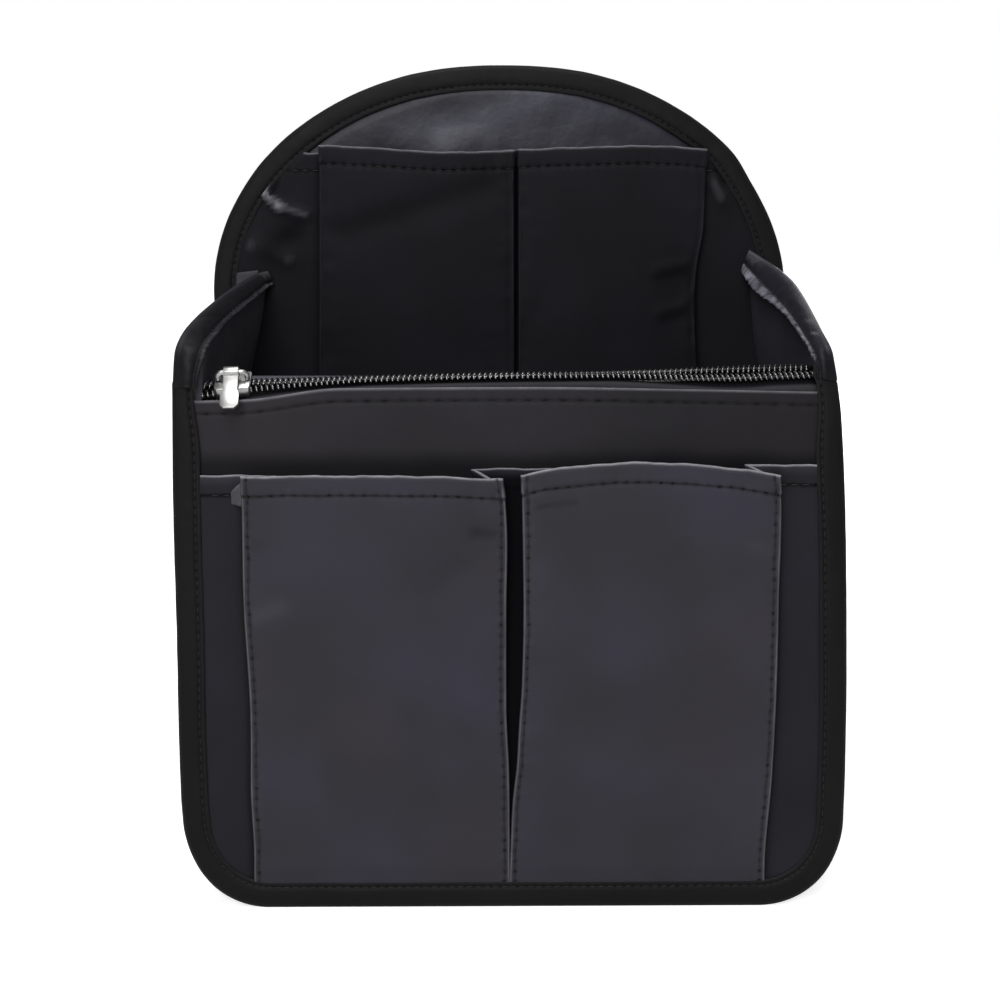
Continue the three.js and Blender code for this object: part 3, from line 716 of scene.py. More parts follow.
class Bench:
    """Turns finished meshes into pieces of the bag."""

    def __init__(self, wardrobe: Wardrobe) -> None:
        self.wardrobe = wardrobe

    def piece(
        self,
        name: str,
        bm: bmesh.types.BMesh,
        finish: Finish,
        slot: Optional[Slot],
        body: Body = Body.BAG,
        replaces: Sequence[str] = (),
        thickness: float = 0.0,
        is_soft: bool = True,
    ) -> bpy.types.Object:
        """Makes an object from a mesh in mm and puts it on its body.

        Args:
            name: the piece's name.
            bm: the mesh, in mm, which is used up.
            finish: what it is made of.
            slot: the record's material slot, if it stands for one; not used.
            body: the body it rides on.
            replaces: the solid parts that it stands for.
            thickness: full thickness in mm given to a Cloth's mesh, thinned by each point's stack.
            is_soft: whether the piece sways with the soft bag.

        Returns:
            The new object.
        """
        if is_soft:
            for vert in bm.verts:
                vert.co = SWAY.move(vert.co)
        bmesh.ops.scale(bm, vec=(MM, MM, MM), verts=bm.verts)
        for face in bm.faces:
            face.smooth = True
        mesh = bpy.data.meshes.new(name)
        bm.to_mesh(mesh)
        bm.free()
        obj = bpy.data.objects.new(name, mesh)
        bpy.context.scene.collection.objects.link(obj)
        mesh.materials.append(self.wardrobe.material(finish))
        if thickness:
            layer = obj.modifiers.new("thickness", "SOLIDIFY")
            layer.thickness = thickness * MM
            layer.offset = 0.0
            layer.use_even_offset = False
            obj.vertex_groups.new(name="hem")
            layer.vertex_group = "hem"
            layer.thickness_vertex_group = 0.0
        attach(obj, body.value)
        if replaces:
            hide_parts(*replaces)
        LOG.info("%s: %d points, %d faces", name, len(mesh.vertices), len(mesh.polygons))
        return obj

    @staticmethod
    def sheet(
        obj: bpy.types.Object,
        width: float,
        length: float,
        hold: Hold,
        rests_on: Sequence[str],
        share: float = 1.0,
        ends: Sequence[bpy.types.Object] = (),
    ) -> None:
        """Works out a piece's flat size and cloth area as a sheet; nothing is kept or set on the piece.

        Args:
            obj: the piece; not used.
            width: width of the cut in mm.
            length: length of the cut in mm.
            hold: how it is held; not used.
            rests_on: what it lies on.
            share: how much of that rectangle the cut fills.
            ends: small loose ends of the same cloth that are pieces of their own.
        """
        flat = (width * MM, length * MM)
        area = flat[0] * flat[1] * share if share < 1.0 else None
        list(rests_on)
        list(ends)


UNSEWN = 9.0  # distance in mm at which a row of stitches no longer shows


class Spot(NamedTuple):
    """Where a point of cloth goes.

    Attributes:
        place: the point in mm.
        light_and_wear: painted highlight and rubbing above zero, painted shade below zero.
        stack: its share of the full thickness.
        sewn: distance from the main row of stitches in mm.
        run: place along that row, counted in stitches.
        edge: distance from a second row, along an edge, in mm.
        edge_run: place along the second row.
    """

    place: Vector
    light_and_wear: float = 0.0
    stack: float = 1.0
    sewn: float = UNSEWN
    run: float = 0.0
    edge: float = UNSEWN
    edge_run: float = 0.0


class Cloth:
    """A grid of quads that a rule moves into place point by point."""

    def __init__(self, name: str, across: Sequence[float], along: Sequence[float]) -> None:
        self.name = name
        self.across = list(across)
        self.along = list(along)
        self.bm = bmesh.new()
        self.uv = self.bm.loops.layers.uv.new("cloth")
        names = ("light_and_wear", "hem_row", "hem_row_run", "edge_row", "edge_row_run")
        self.floats = [self.bm.verts.layers.float.new(name) for name in names]
        self.deform = self.bm.verts.layers.deform.verify()
        bmesh.ops.create_grid(
            self.bm, x_segments=len(self.across) - 1, y_segments=len(self.along) - 1, size=1.0
        )

    def cell(self, vert: bmesh.types.BMVert) -> tuple[int, int]:
        """Column and row of a point that hasn't moved yet."""
        column = round((vert.co.x + 1) / 2 * (len(self.across) - 1))
        return column, round((vert.co.y + 1) / 2 * (len(self.along) - 1))

    def shape(self, rule: Callable[[int, int], Spot], is_loop: bool = False) -> "Cloth":
        """Moves each point of the grid into place.

        Args:
            rule: gives the spot of a column and row.
            is_loop: whether the first and last columns meet and are merged.

        Returns:
            This cloth.
        """
        for face in self.bm.faces:
            for loop in face.loops:
                column, row = self.cell(loop.vert)
                loop[self.uv].uv = (self.across[column], self.along[row])
        for vert in self.bm.verts:
            spot = rule(*self.cell(vert))
            vert.co = spot.place
            numbers = spot.light_and_wear, spot.sewn, spot.run, spot.edge, spot.edge_run
            for layer, number in zip(self.floats, numbers):
                vert[layer] = number
            vert[self.deform][0] = spot.stack
        if is_loop:
            bmesh.ops.remove_doubles(self.bm, verts=self.bm.verts, dist=1e-4)
        bmesh.ops.recalc_face_normals(self.bm, faces=self.bm.faces)
        return self


@dataclass(frozen=True)
class StitchStyle:
    """One kind of sewing.

    Attributes:
        length: visible length of a stitch in mm.
        pitch: distance from stitch to stitch in mm.
        radius: half the thread's width in mm.
    """

    length: float = 2.0
    pitch: float = 2.8
    radius: float = 0.2


class Seam:
    """Rows of stitches that lie on one piece of cloth."""

    def __init__(self, name: str) -> None:
        self.name = name
        self.bm = bmesh.new()

    def row(self, walk: Callable[[float], Vector], length: float, out: Vector, style: StitchStyle) -> "Seam":
        """Sews along a walk.

        Args:
            walk: gives the point after a length in mm.
            length: length of the row in mm.
            out: direction away from the cloth.
            style: the kind of stitch.

        Returns:
            This seam.
        """
        for i in range(int(length / style.pitch)):
            start = (i + 0.5) * style.pitch - style.length / 2
            a, b = walk(start), walk(start + style.length)
            along = (b - a).normalized()
            side = out.cross(along).normalized()
            up = along.cross(side)
            turn = Matrix((along, side, up)).transposed().to_4x4()
            wobble = 0.06 * ripple(i * 1.7, length, 3.0)
            turn.translation = (a + b) / 2 + side * wobble
            size = Matrix.Diagonal((style.length / 2, style.radius, style.radius * 0.8, 1.0))
            bmesh.ops.create_uvsphere(self.bm, u_segments=6, v_segments=5, radius=1.0, matrix=turn @ size)
        return self

    def sew(self, bench: Bench, finish: ThreadFinish, slot: Slot, is_soft: bool = True) -> None:
        """Makes the rows into one piece."""
        bench.piece(self.name, self.bm, finish, slot, is_soft=is_soft)


@dataclass(frozen=True)
class Scrap:
    """A small loose end of cloth beside a seam.

    Attributes:
        name: the piece's name.
        corners: its low left, low right, high right and high left corner in mm.
        bow: how far its middle stands out of their plane in mm.
        light_and_wear: how much lighter it is, most at its rim.
    """

    name: str
    corners: tuple[Vector, Vector, Vector, Vector]
    bow: float
    light_and_wear: float

    def build(self, bench: Bench, finish: ClothFinish) -> bpy.types.Object:
        """Makes the piece."""
        a, b, c, d = self.corners
        shares = steps(0.0, 1.0, 0.1)
        width, tall = ((b - a).length + (c - d).length) / 2, ((d - a).length + (c - b).length) / 2
        out = (b - a).cross(d - a).normalized()
        cloth = Cloth(self.name, [s * width for s in shares], [s * tall for s in shares])

        def spot(i: int, j: int) -> Spot:
            """A point of the bowed cloth, lighter towards its edges."""
            u, v = shares[i], shares[j]
            place = a.lerp(b, u).lerp(d.lerp(c, u), v)
            rise = math.sin(math.pi * u) * (0.4 + 0.6 * v) + 0.3 * ripple(u * 3.0, v * 3.0, 71.0)
            rim = bell(min(u, 1.0 - u, 1.0 - v), 0.12)
            return Spot(place + out * self.bow * rise, self.light_and_wear * (0.6 + 0.6 * rim))

        cloth.shape(spot)
        return bench.piece(self.name, cloth.bm, finish, Slot.NYLON, thickness=CLOTH_THICKNESS)


# Bindings


@dataclass
class Binding:
    """Tape folded over a wall's edge and sewn through.

    Attributes:
        name: the piece's name.
        node: the solid part that it stands for.
        outline: the wall's edge.
        place: puts (x, distance inwards, height) on the wall.
        shown: distance inwards of the leg that the camera sees.
        hidden: distance inwards of the other leg.
        shown_leg: width of the seen leg in mm.
        hidden_leg: width of the other leg in mm.
        seed: picks its unevenness.
        tuck: how far its ends draw in under another tape.
        step: spacing of points along the tape in mm.
        tape: thickness of the tape in mm.
        stitch_in: distance of the stitches from the seen leg's inner edge in mm.
        blend: length in mm over which a closed tape comes to match its start.
        style: its stitches.
        walked: points of the outline that are already worked out.
    """

    name: str
    node: str
    outline: Outline
    place: Place
    shown: float
    hidden: float
    shown_leg: float
    hidden_leg: float
    seed: float
    tuck: float = 0.0
    step: float = 0.95
    tape: float = TAPE_THICKNESS
    stitch_in: float = 1.7
    blend: float = 24.0
    style: StitchStyle = field(default_factory=lambda: StitchStyle(2.3, 2.8, 0.12))
    walked: dict[float, tuple[Vector, Vector]] = field(default_factory=dict)

    @property
    def way(self) -> float:
        """The sign of inwards on which the seen leg lies."""
        return math.copysign(1.0, self.shown - self.hidden)

    def walk(self, distance: float) -> tuple[Vector, Vector]:
        """The outline's point and outward direction after a length, kept for the next call."""
        if distance not in self.walked:
            self.walked[distance] = self.outline.point(distance), self.outline.outward(distance)
        return self.walked[distance]

    def wave(self, distance: float, length: float, other: float, seed: float) -> float:
        """Seeded unevenness of that length along the tape, which meets itself on a closed edge."""
        here, whole = ripple(distance / length, other, seed), self.outline.length
        if not self.outline.is_loop:
            return here
        start = ripple((distance - whole) / length, other, seed)
        return lerp(here, start, smoothstep(whole - self.blend, whole, distance))

    def section(self) -> list[tuple[float, float, float]]:
        """The line across the tape, as (distance in from the edge, inwards, share of the seen leg)."""
        radius = abs(self.hidden - self.shown) / 2
        middle = (self.hidden + self.shown) / 2
        wide = self.shown_leg
        leg = [(wide - s, self.shown, 1.0 - s / wide) for s in self.leg_stations(radius)]
        turns = [math.pi * (0.5 - i / 9) for i in range(1, 9)]
        fold = [(radius - radius * math.cos(t), middle + self.way * radius * math.sin(t), 0.0) for t in turns]
        back = [(lerp(radius, self.hidden_leg, i / 4), self.hidden, -1.0) for i in range(5)]
        return [*leg, *fold, *back]

    def leg_stations(self, radius: float) -> list[float]:
        """Stations across the seen leg, closer where it is sewn."""
        sewn = [0.0, 0.5, 1.0, 1.4, 1.7, 2.0, 2.4]
        return [*sewn, *steps(3.0, self.shown_leg - radius, 0.75)]

    def spot(self, distance: float, line: tuple[float, float, float]) -> Spot:
        """Where a point of the tape goes."""
        depth, inwards, share = line
        point, out = self.walk(distance)
        seen = max(0.0, share)
        from_edge = seen * self.shown_leg if share > 0 else -1.0
        from_inner = self.shown_leg - depth if share > 0 else 99.0
        edge_wave = 0.3 * self.wave(distance, 33.0, 0.0, self.seed)
        edge_wave += 0.12 * self.wave(distance, 7.0, 1.0, self.seed)
        swell = math.sin(math.pi * min(1.0, from_inner / self.shown_leg)) if share > 0 else 0.0
        lift = swell * (0.42 + 0.22 * self.wave(distance, 16.0, 4.0, self.seed))
        lift += 0.1 * self.wave(distance, 3.4, from_edge / 4.0, self.seed + 2.0) * swell
        sewn = bell(from_inner - self.stitch_in, 0.55)
        lift -= sewn * 0.3 + 0.12 * bell(from_inner, 0.5)
        end = min(distance, self.outline.length - distance)
        under = 1.0 - smoothstep(1.0, 4.0, end) if self.tuck else 0.0
        lift *= 1.0 - 0.8 * under
        depth += edge_wave * (0.55 if share <= 0 else 0.35 + 0.65 * seen) + self.tuck * under
        if self.tuck:
            depth -= 2.0 * depth / self.shown_leg * (1.0 - smoothstep(6.0, 26.0, end))
        # Painted highlight on the inner edge and the fold's crest; painted shade along the row of stitches.
        light_and_wear = 0.25 * bell(from_inner - 0.1, 0.35) + (0.08 if share == 0.0 else 0.0)
        light_and_wear -= 0.4 * bell(from_inner - self.stitch_in, 0.3)
        place = self.place(point.x - out.x * depth, inwards + self.way * lift, point.y - out.y * depth)
        place.z = max(place.z, self.tape / 2)
        is_join = self.outline.is_loop and end < 0.5
        off_row = UNSEWN if is_join else from_inner - self.stitch_in
        return Spot(place, light_and_wear, 1.0, off_row, distance / self.style.pitch)

    def build(self, bench: Bench) -> None:
        """Makes the tape and its stitches."""
        section = self.section()
        along = steps(0.0, self.outline.length, self.step)
        widths = run_lengths([line[:2] for line in section])
        cloth = Cloth(self.name, along, widths)
        cloth.shape(lambda i, j: self.spot(along[i], section[j]), self.outline.is_loop)
        obj = bench.piece(
            self.name, cloth.bm, BINDING_TAPE, Slot.BINDING, replaces=[self.node], thickness=self.tape
        )
        bench.sheet(obj, widths[-1], self.outline.length, Hold.FOLDED, [self.node])
        share = 1.0 - self.stitch_in / self.shown_leg
        line = (self.shown_leg - self.stitch_in, self.shown + self.way * 0.3, share)
        out = (self.place(0, self.way, 100) - self.place(0, 0, 100)).normalized()
        Seam(f"{self.name}_stitches").row(
            lambda s: self.spot(s, line).place, self.outline.length, out, self.style
        ).sew(bench, BINDING_THREAD, Slot.BINDING)


# Pleated pockets


@dataclass(frozen=True)
class PocketCut:
    """One pocket of a strip.

    Attributes:
        side: the half of the strip it is on.
        inner: distance of its fold beside the middle from x = 0, by height.
        outer: distance of its outer fold, by height.
        hem: height of its hem at shares of its width, from the inner fold out.
    """

    side: Side
    inner: tuple[tuple[float, float], ...]
    outer: tuple[tuple[float, float], ...]
    hem: tuple[tuple[float, float], ...]

    def reach(self, share: float, height: float) -> float:
        """Distance from x = 0 at a share of the width and a height."""
        return lerp(curve(self.inner, height), curve(self.outer, height), share)

    @property
    def width(self) -> float:
        """Width at the mouth."""
        return self.outer[-1][1] - self.inner[-1][1]


class LinePoint(NamedTuple):
    """A point of a strip's line.

    Attributes:
        reach: distance from x = 0 in mm.
        depth: distance off the wall in mm.
        share: share of the pocket front's width, or -1 beside it.
        top: height of the hem there.
        light_and_wear: painted highlight above zero, painted shade below zero.
    """

    reach: float
    depth: float
    share: float
    top: float
    light_and_wear: float = 0.0


@dataclass(frozen=True)
class Crease:
    """A ridge or, below zero, a furrow in a strip's cloth.

    Attributes:
        start: one end as (x, height).
        end: the other end.
        width: half the ridge's width in mm.
        rise: its height in mm.
        light_and_wear: how bright the painted highlight on its crest is, or below zero how deep its painted
            shade is.
    """

    start: tuple[float, float]
    end: tuple[float, float]
    width: float
    rise: float
    light_and_wear: float = 0.0

    def lift(self, x: float, height: float) -> float:
        """How much of the ridge a point of the cloth has, from 0 to 1."""
        run = Vector(self.end) - Vector(self.start)
        off = Vector((x, height)) - Vector(self.start)
        share = min(1.0, max(0.0, off.dot(run) / run.length_squared))
        return bell((off - run * share).length, self.width)


@dataclass
class PleatedStrip:
    """One strip of cloth with two pleated slip pockets, sewn to a wall.

    Attributes:
        name: the piece's name.
        node: the solid part that it stands for.
        wall: the part that it is sewn to.
        cuts: the left and right pocket.
        seam: x of the seam between the pockets.
        seam_hem: height of the hem at that seam.
        margin_hem: height of the hem at the left and right edge.
        foot: height of the lower edge.
        margin: half-width of the strip at a height.
        tuck: how far the strip sinks where it runs under the binding.
        place: puts (x, depth off the wall, height) in the bag.
        pleat: depth of a pleat.
        lift: how far the mouth stands off the wall.
        crown: further bulge in the middle of a mouth.
        finish: the cloth.
        seed: picks its unevenness.
        creases: its single ridges and furrows.
        flare: power of the lift over the height.
        base: depth off the wall of the cloth sewn to it.
        pitch: distance from one layer of a pleat to the next.
        cloth: thickness of the cloth in mm.
        single: share of the hem's thickness that a single layer has.
        hem_depth: distance of the hem's stitches from its edge.
        edge_row: distance of the stitches along a fold from it.
        margin_shade: how deep in shade the cloth beside the pockets lies.
        is_edge_sewn: whether the pockets' folds are sewn along.
        scraps: loose ends of its cloth.
        fold_highlight: how bright the painted highlight on the pockets' folds is.
        hem_highlight: how bright the painted highlight on the hem's edge is.
        style: its stitches.
    """

    name: str
    node: str
    wall: str
    cuts: tuple[PocketCut, PocketCut]
    seam: float
    seam_hem: float
    margin_hem: tuple[float, float]
    foot: float
    margin: Callable[[float], float]
    tuck: float
    place: Place
    pleat: float
    lift: float
    crown: float
    finish: ClothFinish
    seed: float
    creases: tuple[Crease, ...] = ()
    flare: float = 1.0
    base: float = 0.5
    pitch: float = 0.75
    cloth: float = CLOTH_THICKNESS
    single: float = 0.42
    hem_depth: float = 6.2
    edge_row: float = 1.5
    margin_shade: float = 0.0
    is_edge_sewn: bool = True
    scraps: tuple[Scrap, ...] = ()
    fold_highlight: float = 0.3
    hem_highlight: float = 1.2
    style: StitchStyle = field(default_factory=lambda: StitchStyle(2.7, 3.5, 0.21))

    def hem_at(self, cut: PocketCut, share: float) -> float:
        """Height of a pocket's hem at a share of its width."""
        return curve(cut.hem, share)

    def margin_top(self, cut: PocketCut) -> float:
        """Height of the hem at the edge of the strip beside a pocket."""
        return self.margin_hem[0 if cut.side is Side.LEFT else 1]

    def front_depth(self, cut: PocketCut, share: float, level: float) -> float:
        """Depth off the wall of the pocket front, without folds and puckers."""
        opened = level**self.flare
        bulge = math.sin(math.pi * min(1.0, max(0.0, share))) ** 0.8
        return self.base + 2 * self.pitch + self.lift * opened + self.crown * opened * bulge

    def fold(self, reach: float, low: float, way: float) -> list[tuple[float, float]]:
        """A half turn of cloth from depth low to one pitch above it, with its edge at reach."""
        radius = self.pitch / 2
        turns = [math.radians(a) for a in (-90, -54, -18, 18, 54, 90)]
        return [
            (reach - way * radius + way * radius * math.cos(t), low + radius + radius * math.sin(t))
            for t in turns
        ]

    def half(self, cut: PocketCut, level: float) -> list[LinePoint]:
        """One half of the strip's line at a share of its height, from the seam to the margin.

        Args:
            cut: the pocket on that half.
            level: share of the height, 0 at the foot.

        Returns:
            The points, as many at each level.
        """
        inner_top, outer_top = self.hem_at(cut, 0.0), self.hem_at(cut, 1.0)
        inner = cut.reach(0.0, lerp(self.foot, inner_top, level))
        outer = cut.reach(1.0, lerp(self.foot, outer_top, level))
        seam = cut.side.value * self.seam
        front = self.front_depth(cut, 0.0, level)
        margin_top = self.margin_top(cut)
        margin = self.margin(lerp(self.foot, margin_top, level))
        pinch, ease = 3.2, 0.4
        # Painted shade in the pleats' hollows and under the folds; a painted highlight on the folds' crests.
        points = [
            LinePoint(lerp(seam, inner + self.pleat - ease, i / 6), self.base, -1.0, self.seam_hem, -1.0)
            for i in range(6)
        ]
        points += [
            LinePoint(x, d, -1.0, self.seam_hem, -1.0) for x, d in self.fold(inner + self.pleat, self.base, 1)
        ]
        low = front - self.pitch
        points += [
            LinePoint(
                lerp(inner + self.pleat - ease, inner + pinch, i / 6),
                lerp(self.base + self.pitch, low, smoothstep(0, 1, i / 6)),
                -1.0,
                lerp(self.seam_hem, inner_top, i / 6),
                -0.95,
            )
            for i in range(1, 7)
        ]
        points += [LinePoint(inner + 1.6, low, -1.0, inner_top, -0.6)]
        points += [
            LinePoint(x, d, -1.0, inner_top, lerp(-0.5, self.fold_highlight, i / 5))
            for i, (x, d) in enumerate(self.fold(inner, low, -1))
        ]
        shares = [0.006, 0.012, 0.018, 0.025, *[i / 58 for i in range(2, 57)], 0.975, 0.982, 0.988, 0.994]
        points += [
            LinePoint(
                lerp(inner, outer, s), self.front_depth(cut, s, level), s, self.hem_at(cut, s)
            )
            for s in shares
        ]
        points += [
            LinePoint(x, d, -1.0, outer_top, lerp(self.fold_highlight, -0.4, i / 5))
            for i, (x, d) in enumerate(reversed(self.fold(outer, low, 1)))
        ]
        points += [LinePoint(outer - 1.6, low, -1.0, outer_top, -0.5)]
        points += [
            LinePoint(
                lerp(outer - pinch, outer - self.pleat + ease, i / 6),
                lerp(low, self.base + self.pitch, smoothstep(0, 1, i / 6)),
                -1.0,
                lerp(outer_top, margin_top, i / 6),
                -0.6,
            )
            for i in range(6)
        ]
        points += [
            LinePoint(x, d, -1.0, margin_top, -0.6)
            for x, d in reversed(self.fold(outer - self.pleat, self.base, -1))
        ]
        start = outer - self.pleat + ease
        for i in range(1, 19):
            reach = lerp(start, margin, i / 18)
            sunk = self.tuck * smoothstep(margin - 2.6, margin - 0.8, reach)
            # Painted shade beside the pockets, deepest next to the outer fold.
            shade = -self.margin_shade - (0.66 - self.margin_shade) * bell(reach - outer, 1.6)
            points.append(LinePoint(reach, self.base - sunk, -1.0, margin_top, shade))
        return points

    def line(self, level: float) -> list[tuple[PocketCut, LinePoint]]:
        """The whole strip's line at a share of its height, from left to right."""
        left, right = self.cuts
        points = [(left, p) for p in reversed(self.half(left, level))]
        return points + [(right, p) for p in self.half(right, level)[1:]]

    @property
    def out(self) -> Vector:
        """The direction away from the wall."""
        return self.place(0, 1, 100) - self.place(0, 0, 100)

    def stray(self, along: float, row: float) -> float:
        """How far a row of stitches wanders off its line at a place along it."""
        slow = 0.34 * ripple(along / 9.0, row, self.seed + 19)
        return slow + 0.16 * ripple(along / 3.1, row, self.seed + 23)

    def pucker(self, cut: PocketCut, share: float, reach: float, height: float, top: float) -> float:
        """How far the pocket front stands out of its plain shape at a point."""
        from_fold = min(share, 1.0 - share) * cut.width
        from_hem = top - self.hem_depth - height
        calm = smoothstep(1.0, 9.0, from_fold) * smoothstep(0.0, 14.0, height - self.foot)
        seed = self.seed + cut.side.value
        out = 0.9 * ripple(reach / 44.0, height / 52.0, seed)
        out += 0.35 * ripple(reach / 19.0, height / 26.0, seed + 3)
        out *= calm
        out -= 0.26 * bell(from_fold - self.edge_row, 0.8)
        gathers = ripple(share * 9, height / 4.6, seed + 5) * smoothstep(0.0, 1.5, from_fold)
        out += 0.42 * math.exp(-max(0.0, from_fold - self.edge_row) / 5.0) * gathers
        out -= 0.24 * bell(from_hem, 0.8)
        out += 0.3 * math.exp(-abs(from_hem) / 4.0) * ripple(reach / 4.6, height / 11.0, seed + 8)
        return out

    def spot(self, cut: PocketCut, point: LinePoint, level: float) -> Spot:
        """Where a point of the strip goes."""
        height = lerp(self.foot, point.top, level)
        depth, light_and_wear = point.depth, point.light_and_wear
        from_top = point.top - height
        row_depth = self.hem_depth + self.stray(cut.side.value * point.reach, 0.0)
        sewn, run, edge = from_top - row_depth, point.reach / self.style.pitch, UNSEWN
        if point.share >= 0.0:
            depth += self.pucker(cut, point.share, point.reach, height, point.top)
            from_fold = min(point.share, 1 - point.share) * cut.width
            edge = from_fold - self.edge_row - self.stray(height, self.row_of(cut, point.share))
            # Painted highlight along the fold and painted shade along its row of stitches.
            light_and_wear = 0.4 * self.fold_highlight * bell(from_fold, 0.5) - 0.3 * bell(edge, 0.4) * self.is_edge_sewn
            edge = edge if self.is_edge_sewn else UNSEWN
            run = point.share * cut.width / self.style.pitch
        else:
            depth += 0.2 * ripple(point.reach / 6.0, height / 14.0, self.seed + 11)
            # The painted shade fades out towards the hem's top.
            light_and_wear *= lerp(0.35, 1.0, smoothstep(0.8, 4.0, from_top))
        x = cut.side.value * point.reach
        # Creases raise or sink the cloth and add their painted highlight or painted shade.
        for crease in self.creases:
            lift = crease.lift(x, height)
            depth += crease.rise * lift
            light_and_wear += crease.light_and_wear * lift
        in_hem = 1.0 - smoothstep(self.hem_depth - 0.6, self.hem_depth + 0.4, from_top)
        # Painted highlight on the hem's edge and painted shade along the hem's row of stitches.
        light_and_wear += self.hem_highlight * bell(from_top, 0.45) - 0.34 * bell(sewn, 0.5)
        pressed = smoothstep(0.0, 7.0, height - self.foot)
        depth = self.base * 0.3 + (depth - self.base * 0.3) * lerp(0.3, 1.0, pressed)
        stack, along = lerp(self.single, 1.0, in_hem), (height - self.foot - 1.0) / self.style.pitch
        wander = 0.3 * ripple(x / 8.0, 0.0, self.seed + 17) + 0.16 * ripple(x / 2.7, 1.0, self.seed + 17)
        height += wander * smoothstep(3.0, 0.0, from_top) if from_top < 3.0 else 0.0
        return Spot(self.place(x, depth, height), light_and_wear, stack, sewn, run, edge, along)

    @staticmethod
    def row_of(cut: PocketCut, share: float) -> float:
        """A number for the row along the fold that a point is nearer to."""
        return cut.side.value * (1.7 if share < 0.5 else 3.9)

    def levels(self) -> list[float]:
        """Shares of the height at which the strip's rows lie, closer at the hem."""
        tall = self.seam_hem - self.foot
        return [
            *[h / tall for h in steps(0.0, tall - self.hem_depth - 2.0, 1.5)],
            *[1.0 - d / tall for d in (7.4, 6.8, 6.5, 6.2, 5.9, 5.5, 4.6, 3.6, 2.6, 1.6, 0.8, 0.3, 0.0)],
        ]

    def build(self, bench: Bench) -> None:
        """Makes the strip and its stitches."""
        levels = self.levels()
        lines = [self.line(level) for level in levels]
        middle = lines[len(lines) // 2]
        across = run_lengths([(p.reach * cut.side.value, p.depth) for cut, p in middle])
        along = [level * (self.seam_hem - self.foot) for level in levels]
        cloth = Cloth(self.name, across, along)
        cloth.shape(lambda i, j: self.spot(*lines[j][i], levels[j]))
        full = self.cloth / self.single
        obj = bench.piece(
            self.name, cloth.bm, self.finish, Slot.NYLON, replaces=[self.node], thickness=full
        )
        ends = [scrap.build(bench, self.finish) for scrap in self.scraps]
        bench.sheet(obj, across[-1], along[-1], Hold.FOLDED, [self.wall], ends=ends)
        self.sew(bench)

    def on_pocket(self, cut: PocketCut, share: float, height: float) -> Vector:
        """A point on the outer face of a pocket front."""
        top = self.hem_at(cut, share)
        level = (height - self.foot) / (top - self.foot)
        point = LinePoint(cut.reach(share, height), self.front_depth(cut, share, level), share, top)
        place = self.spot(cut, point, level).place
        return place + self.out * (self.cloth / 2 + 0.06)

    def on_hem_row(self, cut: PocketCut, share: float) -> Vector:
        """A point of the row along a pocket's hem."""
        height = self.hem_at(cut, share) - self.hem_depth
        return self.on_pocket(cut, share, height - self.stray(cut.side.value * cut.reach(share, height), 0.0))

    def on_edge_row(self, cut: PocketCut, share: float, height: float) -> Vector:
        """A point of the row along a pocket's fold."""
        inwards = self.stray(height, self.row_of(cut, share)) / cut.width
        return self.on_pocket(cut, share + (inwards if share < 0.5 else -inwards), height)

    def sew(self, bench: Bench) -> None:
        """Makes the rows of stitches on both pockets."""
        seam = Seam(f"{self.name}_stitches")
        out = self.out.normalized()
        for cut in self.cuts:
            width = cut.width
            edge = self.edge_row / width
            seam.row(lambda s: self.on_hem_row(cut, s / width), width, out, self.style)
            tall = self.hem_at(cut, 0.0) - self.foot - 1.0
            for share in (edge, 1.0 - edge) if self.is_edge_sewn else ():
                seam.row(lambda s: self.on_edge_row(cut, share, self.foot + 1.0 + s), tall, out, self.style)
            self.sew_margin(seam, cut, out)
        seam.sew(bench, DARK_THREAD, Slot.NYLON)

    def sew_margin(self, seam: Seam, cut: PocketCut, out: Vector) -> None:
        """Sews the hem of the strip beside a pocket."""
        top = self.margin_top(cut) - self.hem_depth
        start, end = cut.outer[-1][1] + 0.5, self.margin(top) - 2.5
        if end > start + 3.0:
            seam.row(
                lambda s: self.place(cut.side.value * (start + s), self.base + 0.4, top),
                end - start,
                out,
                self.style,
            )


# Walls


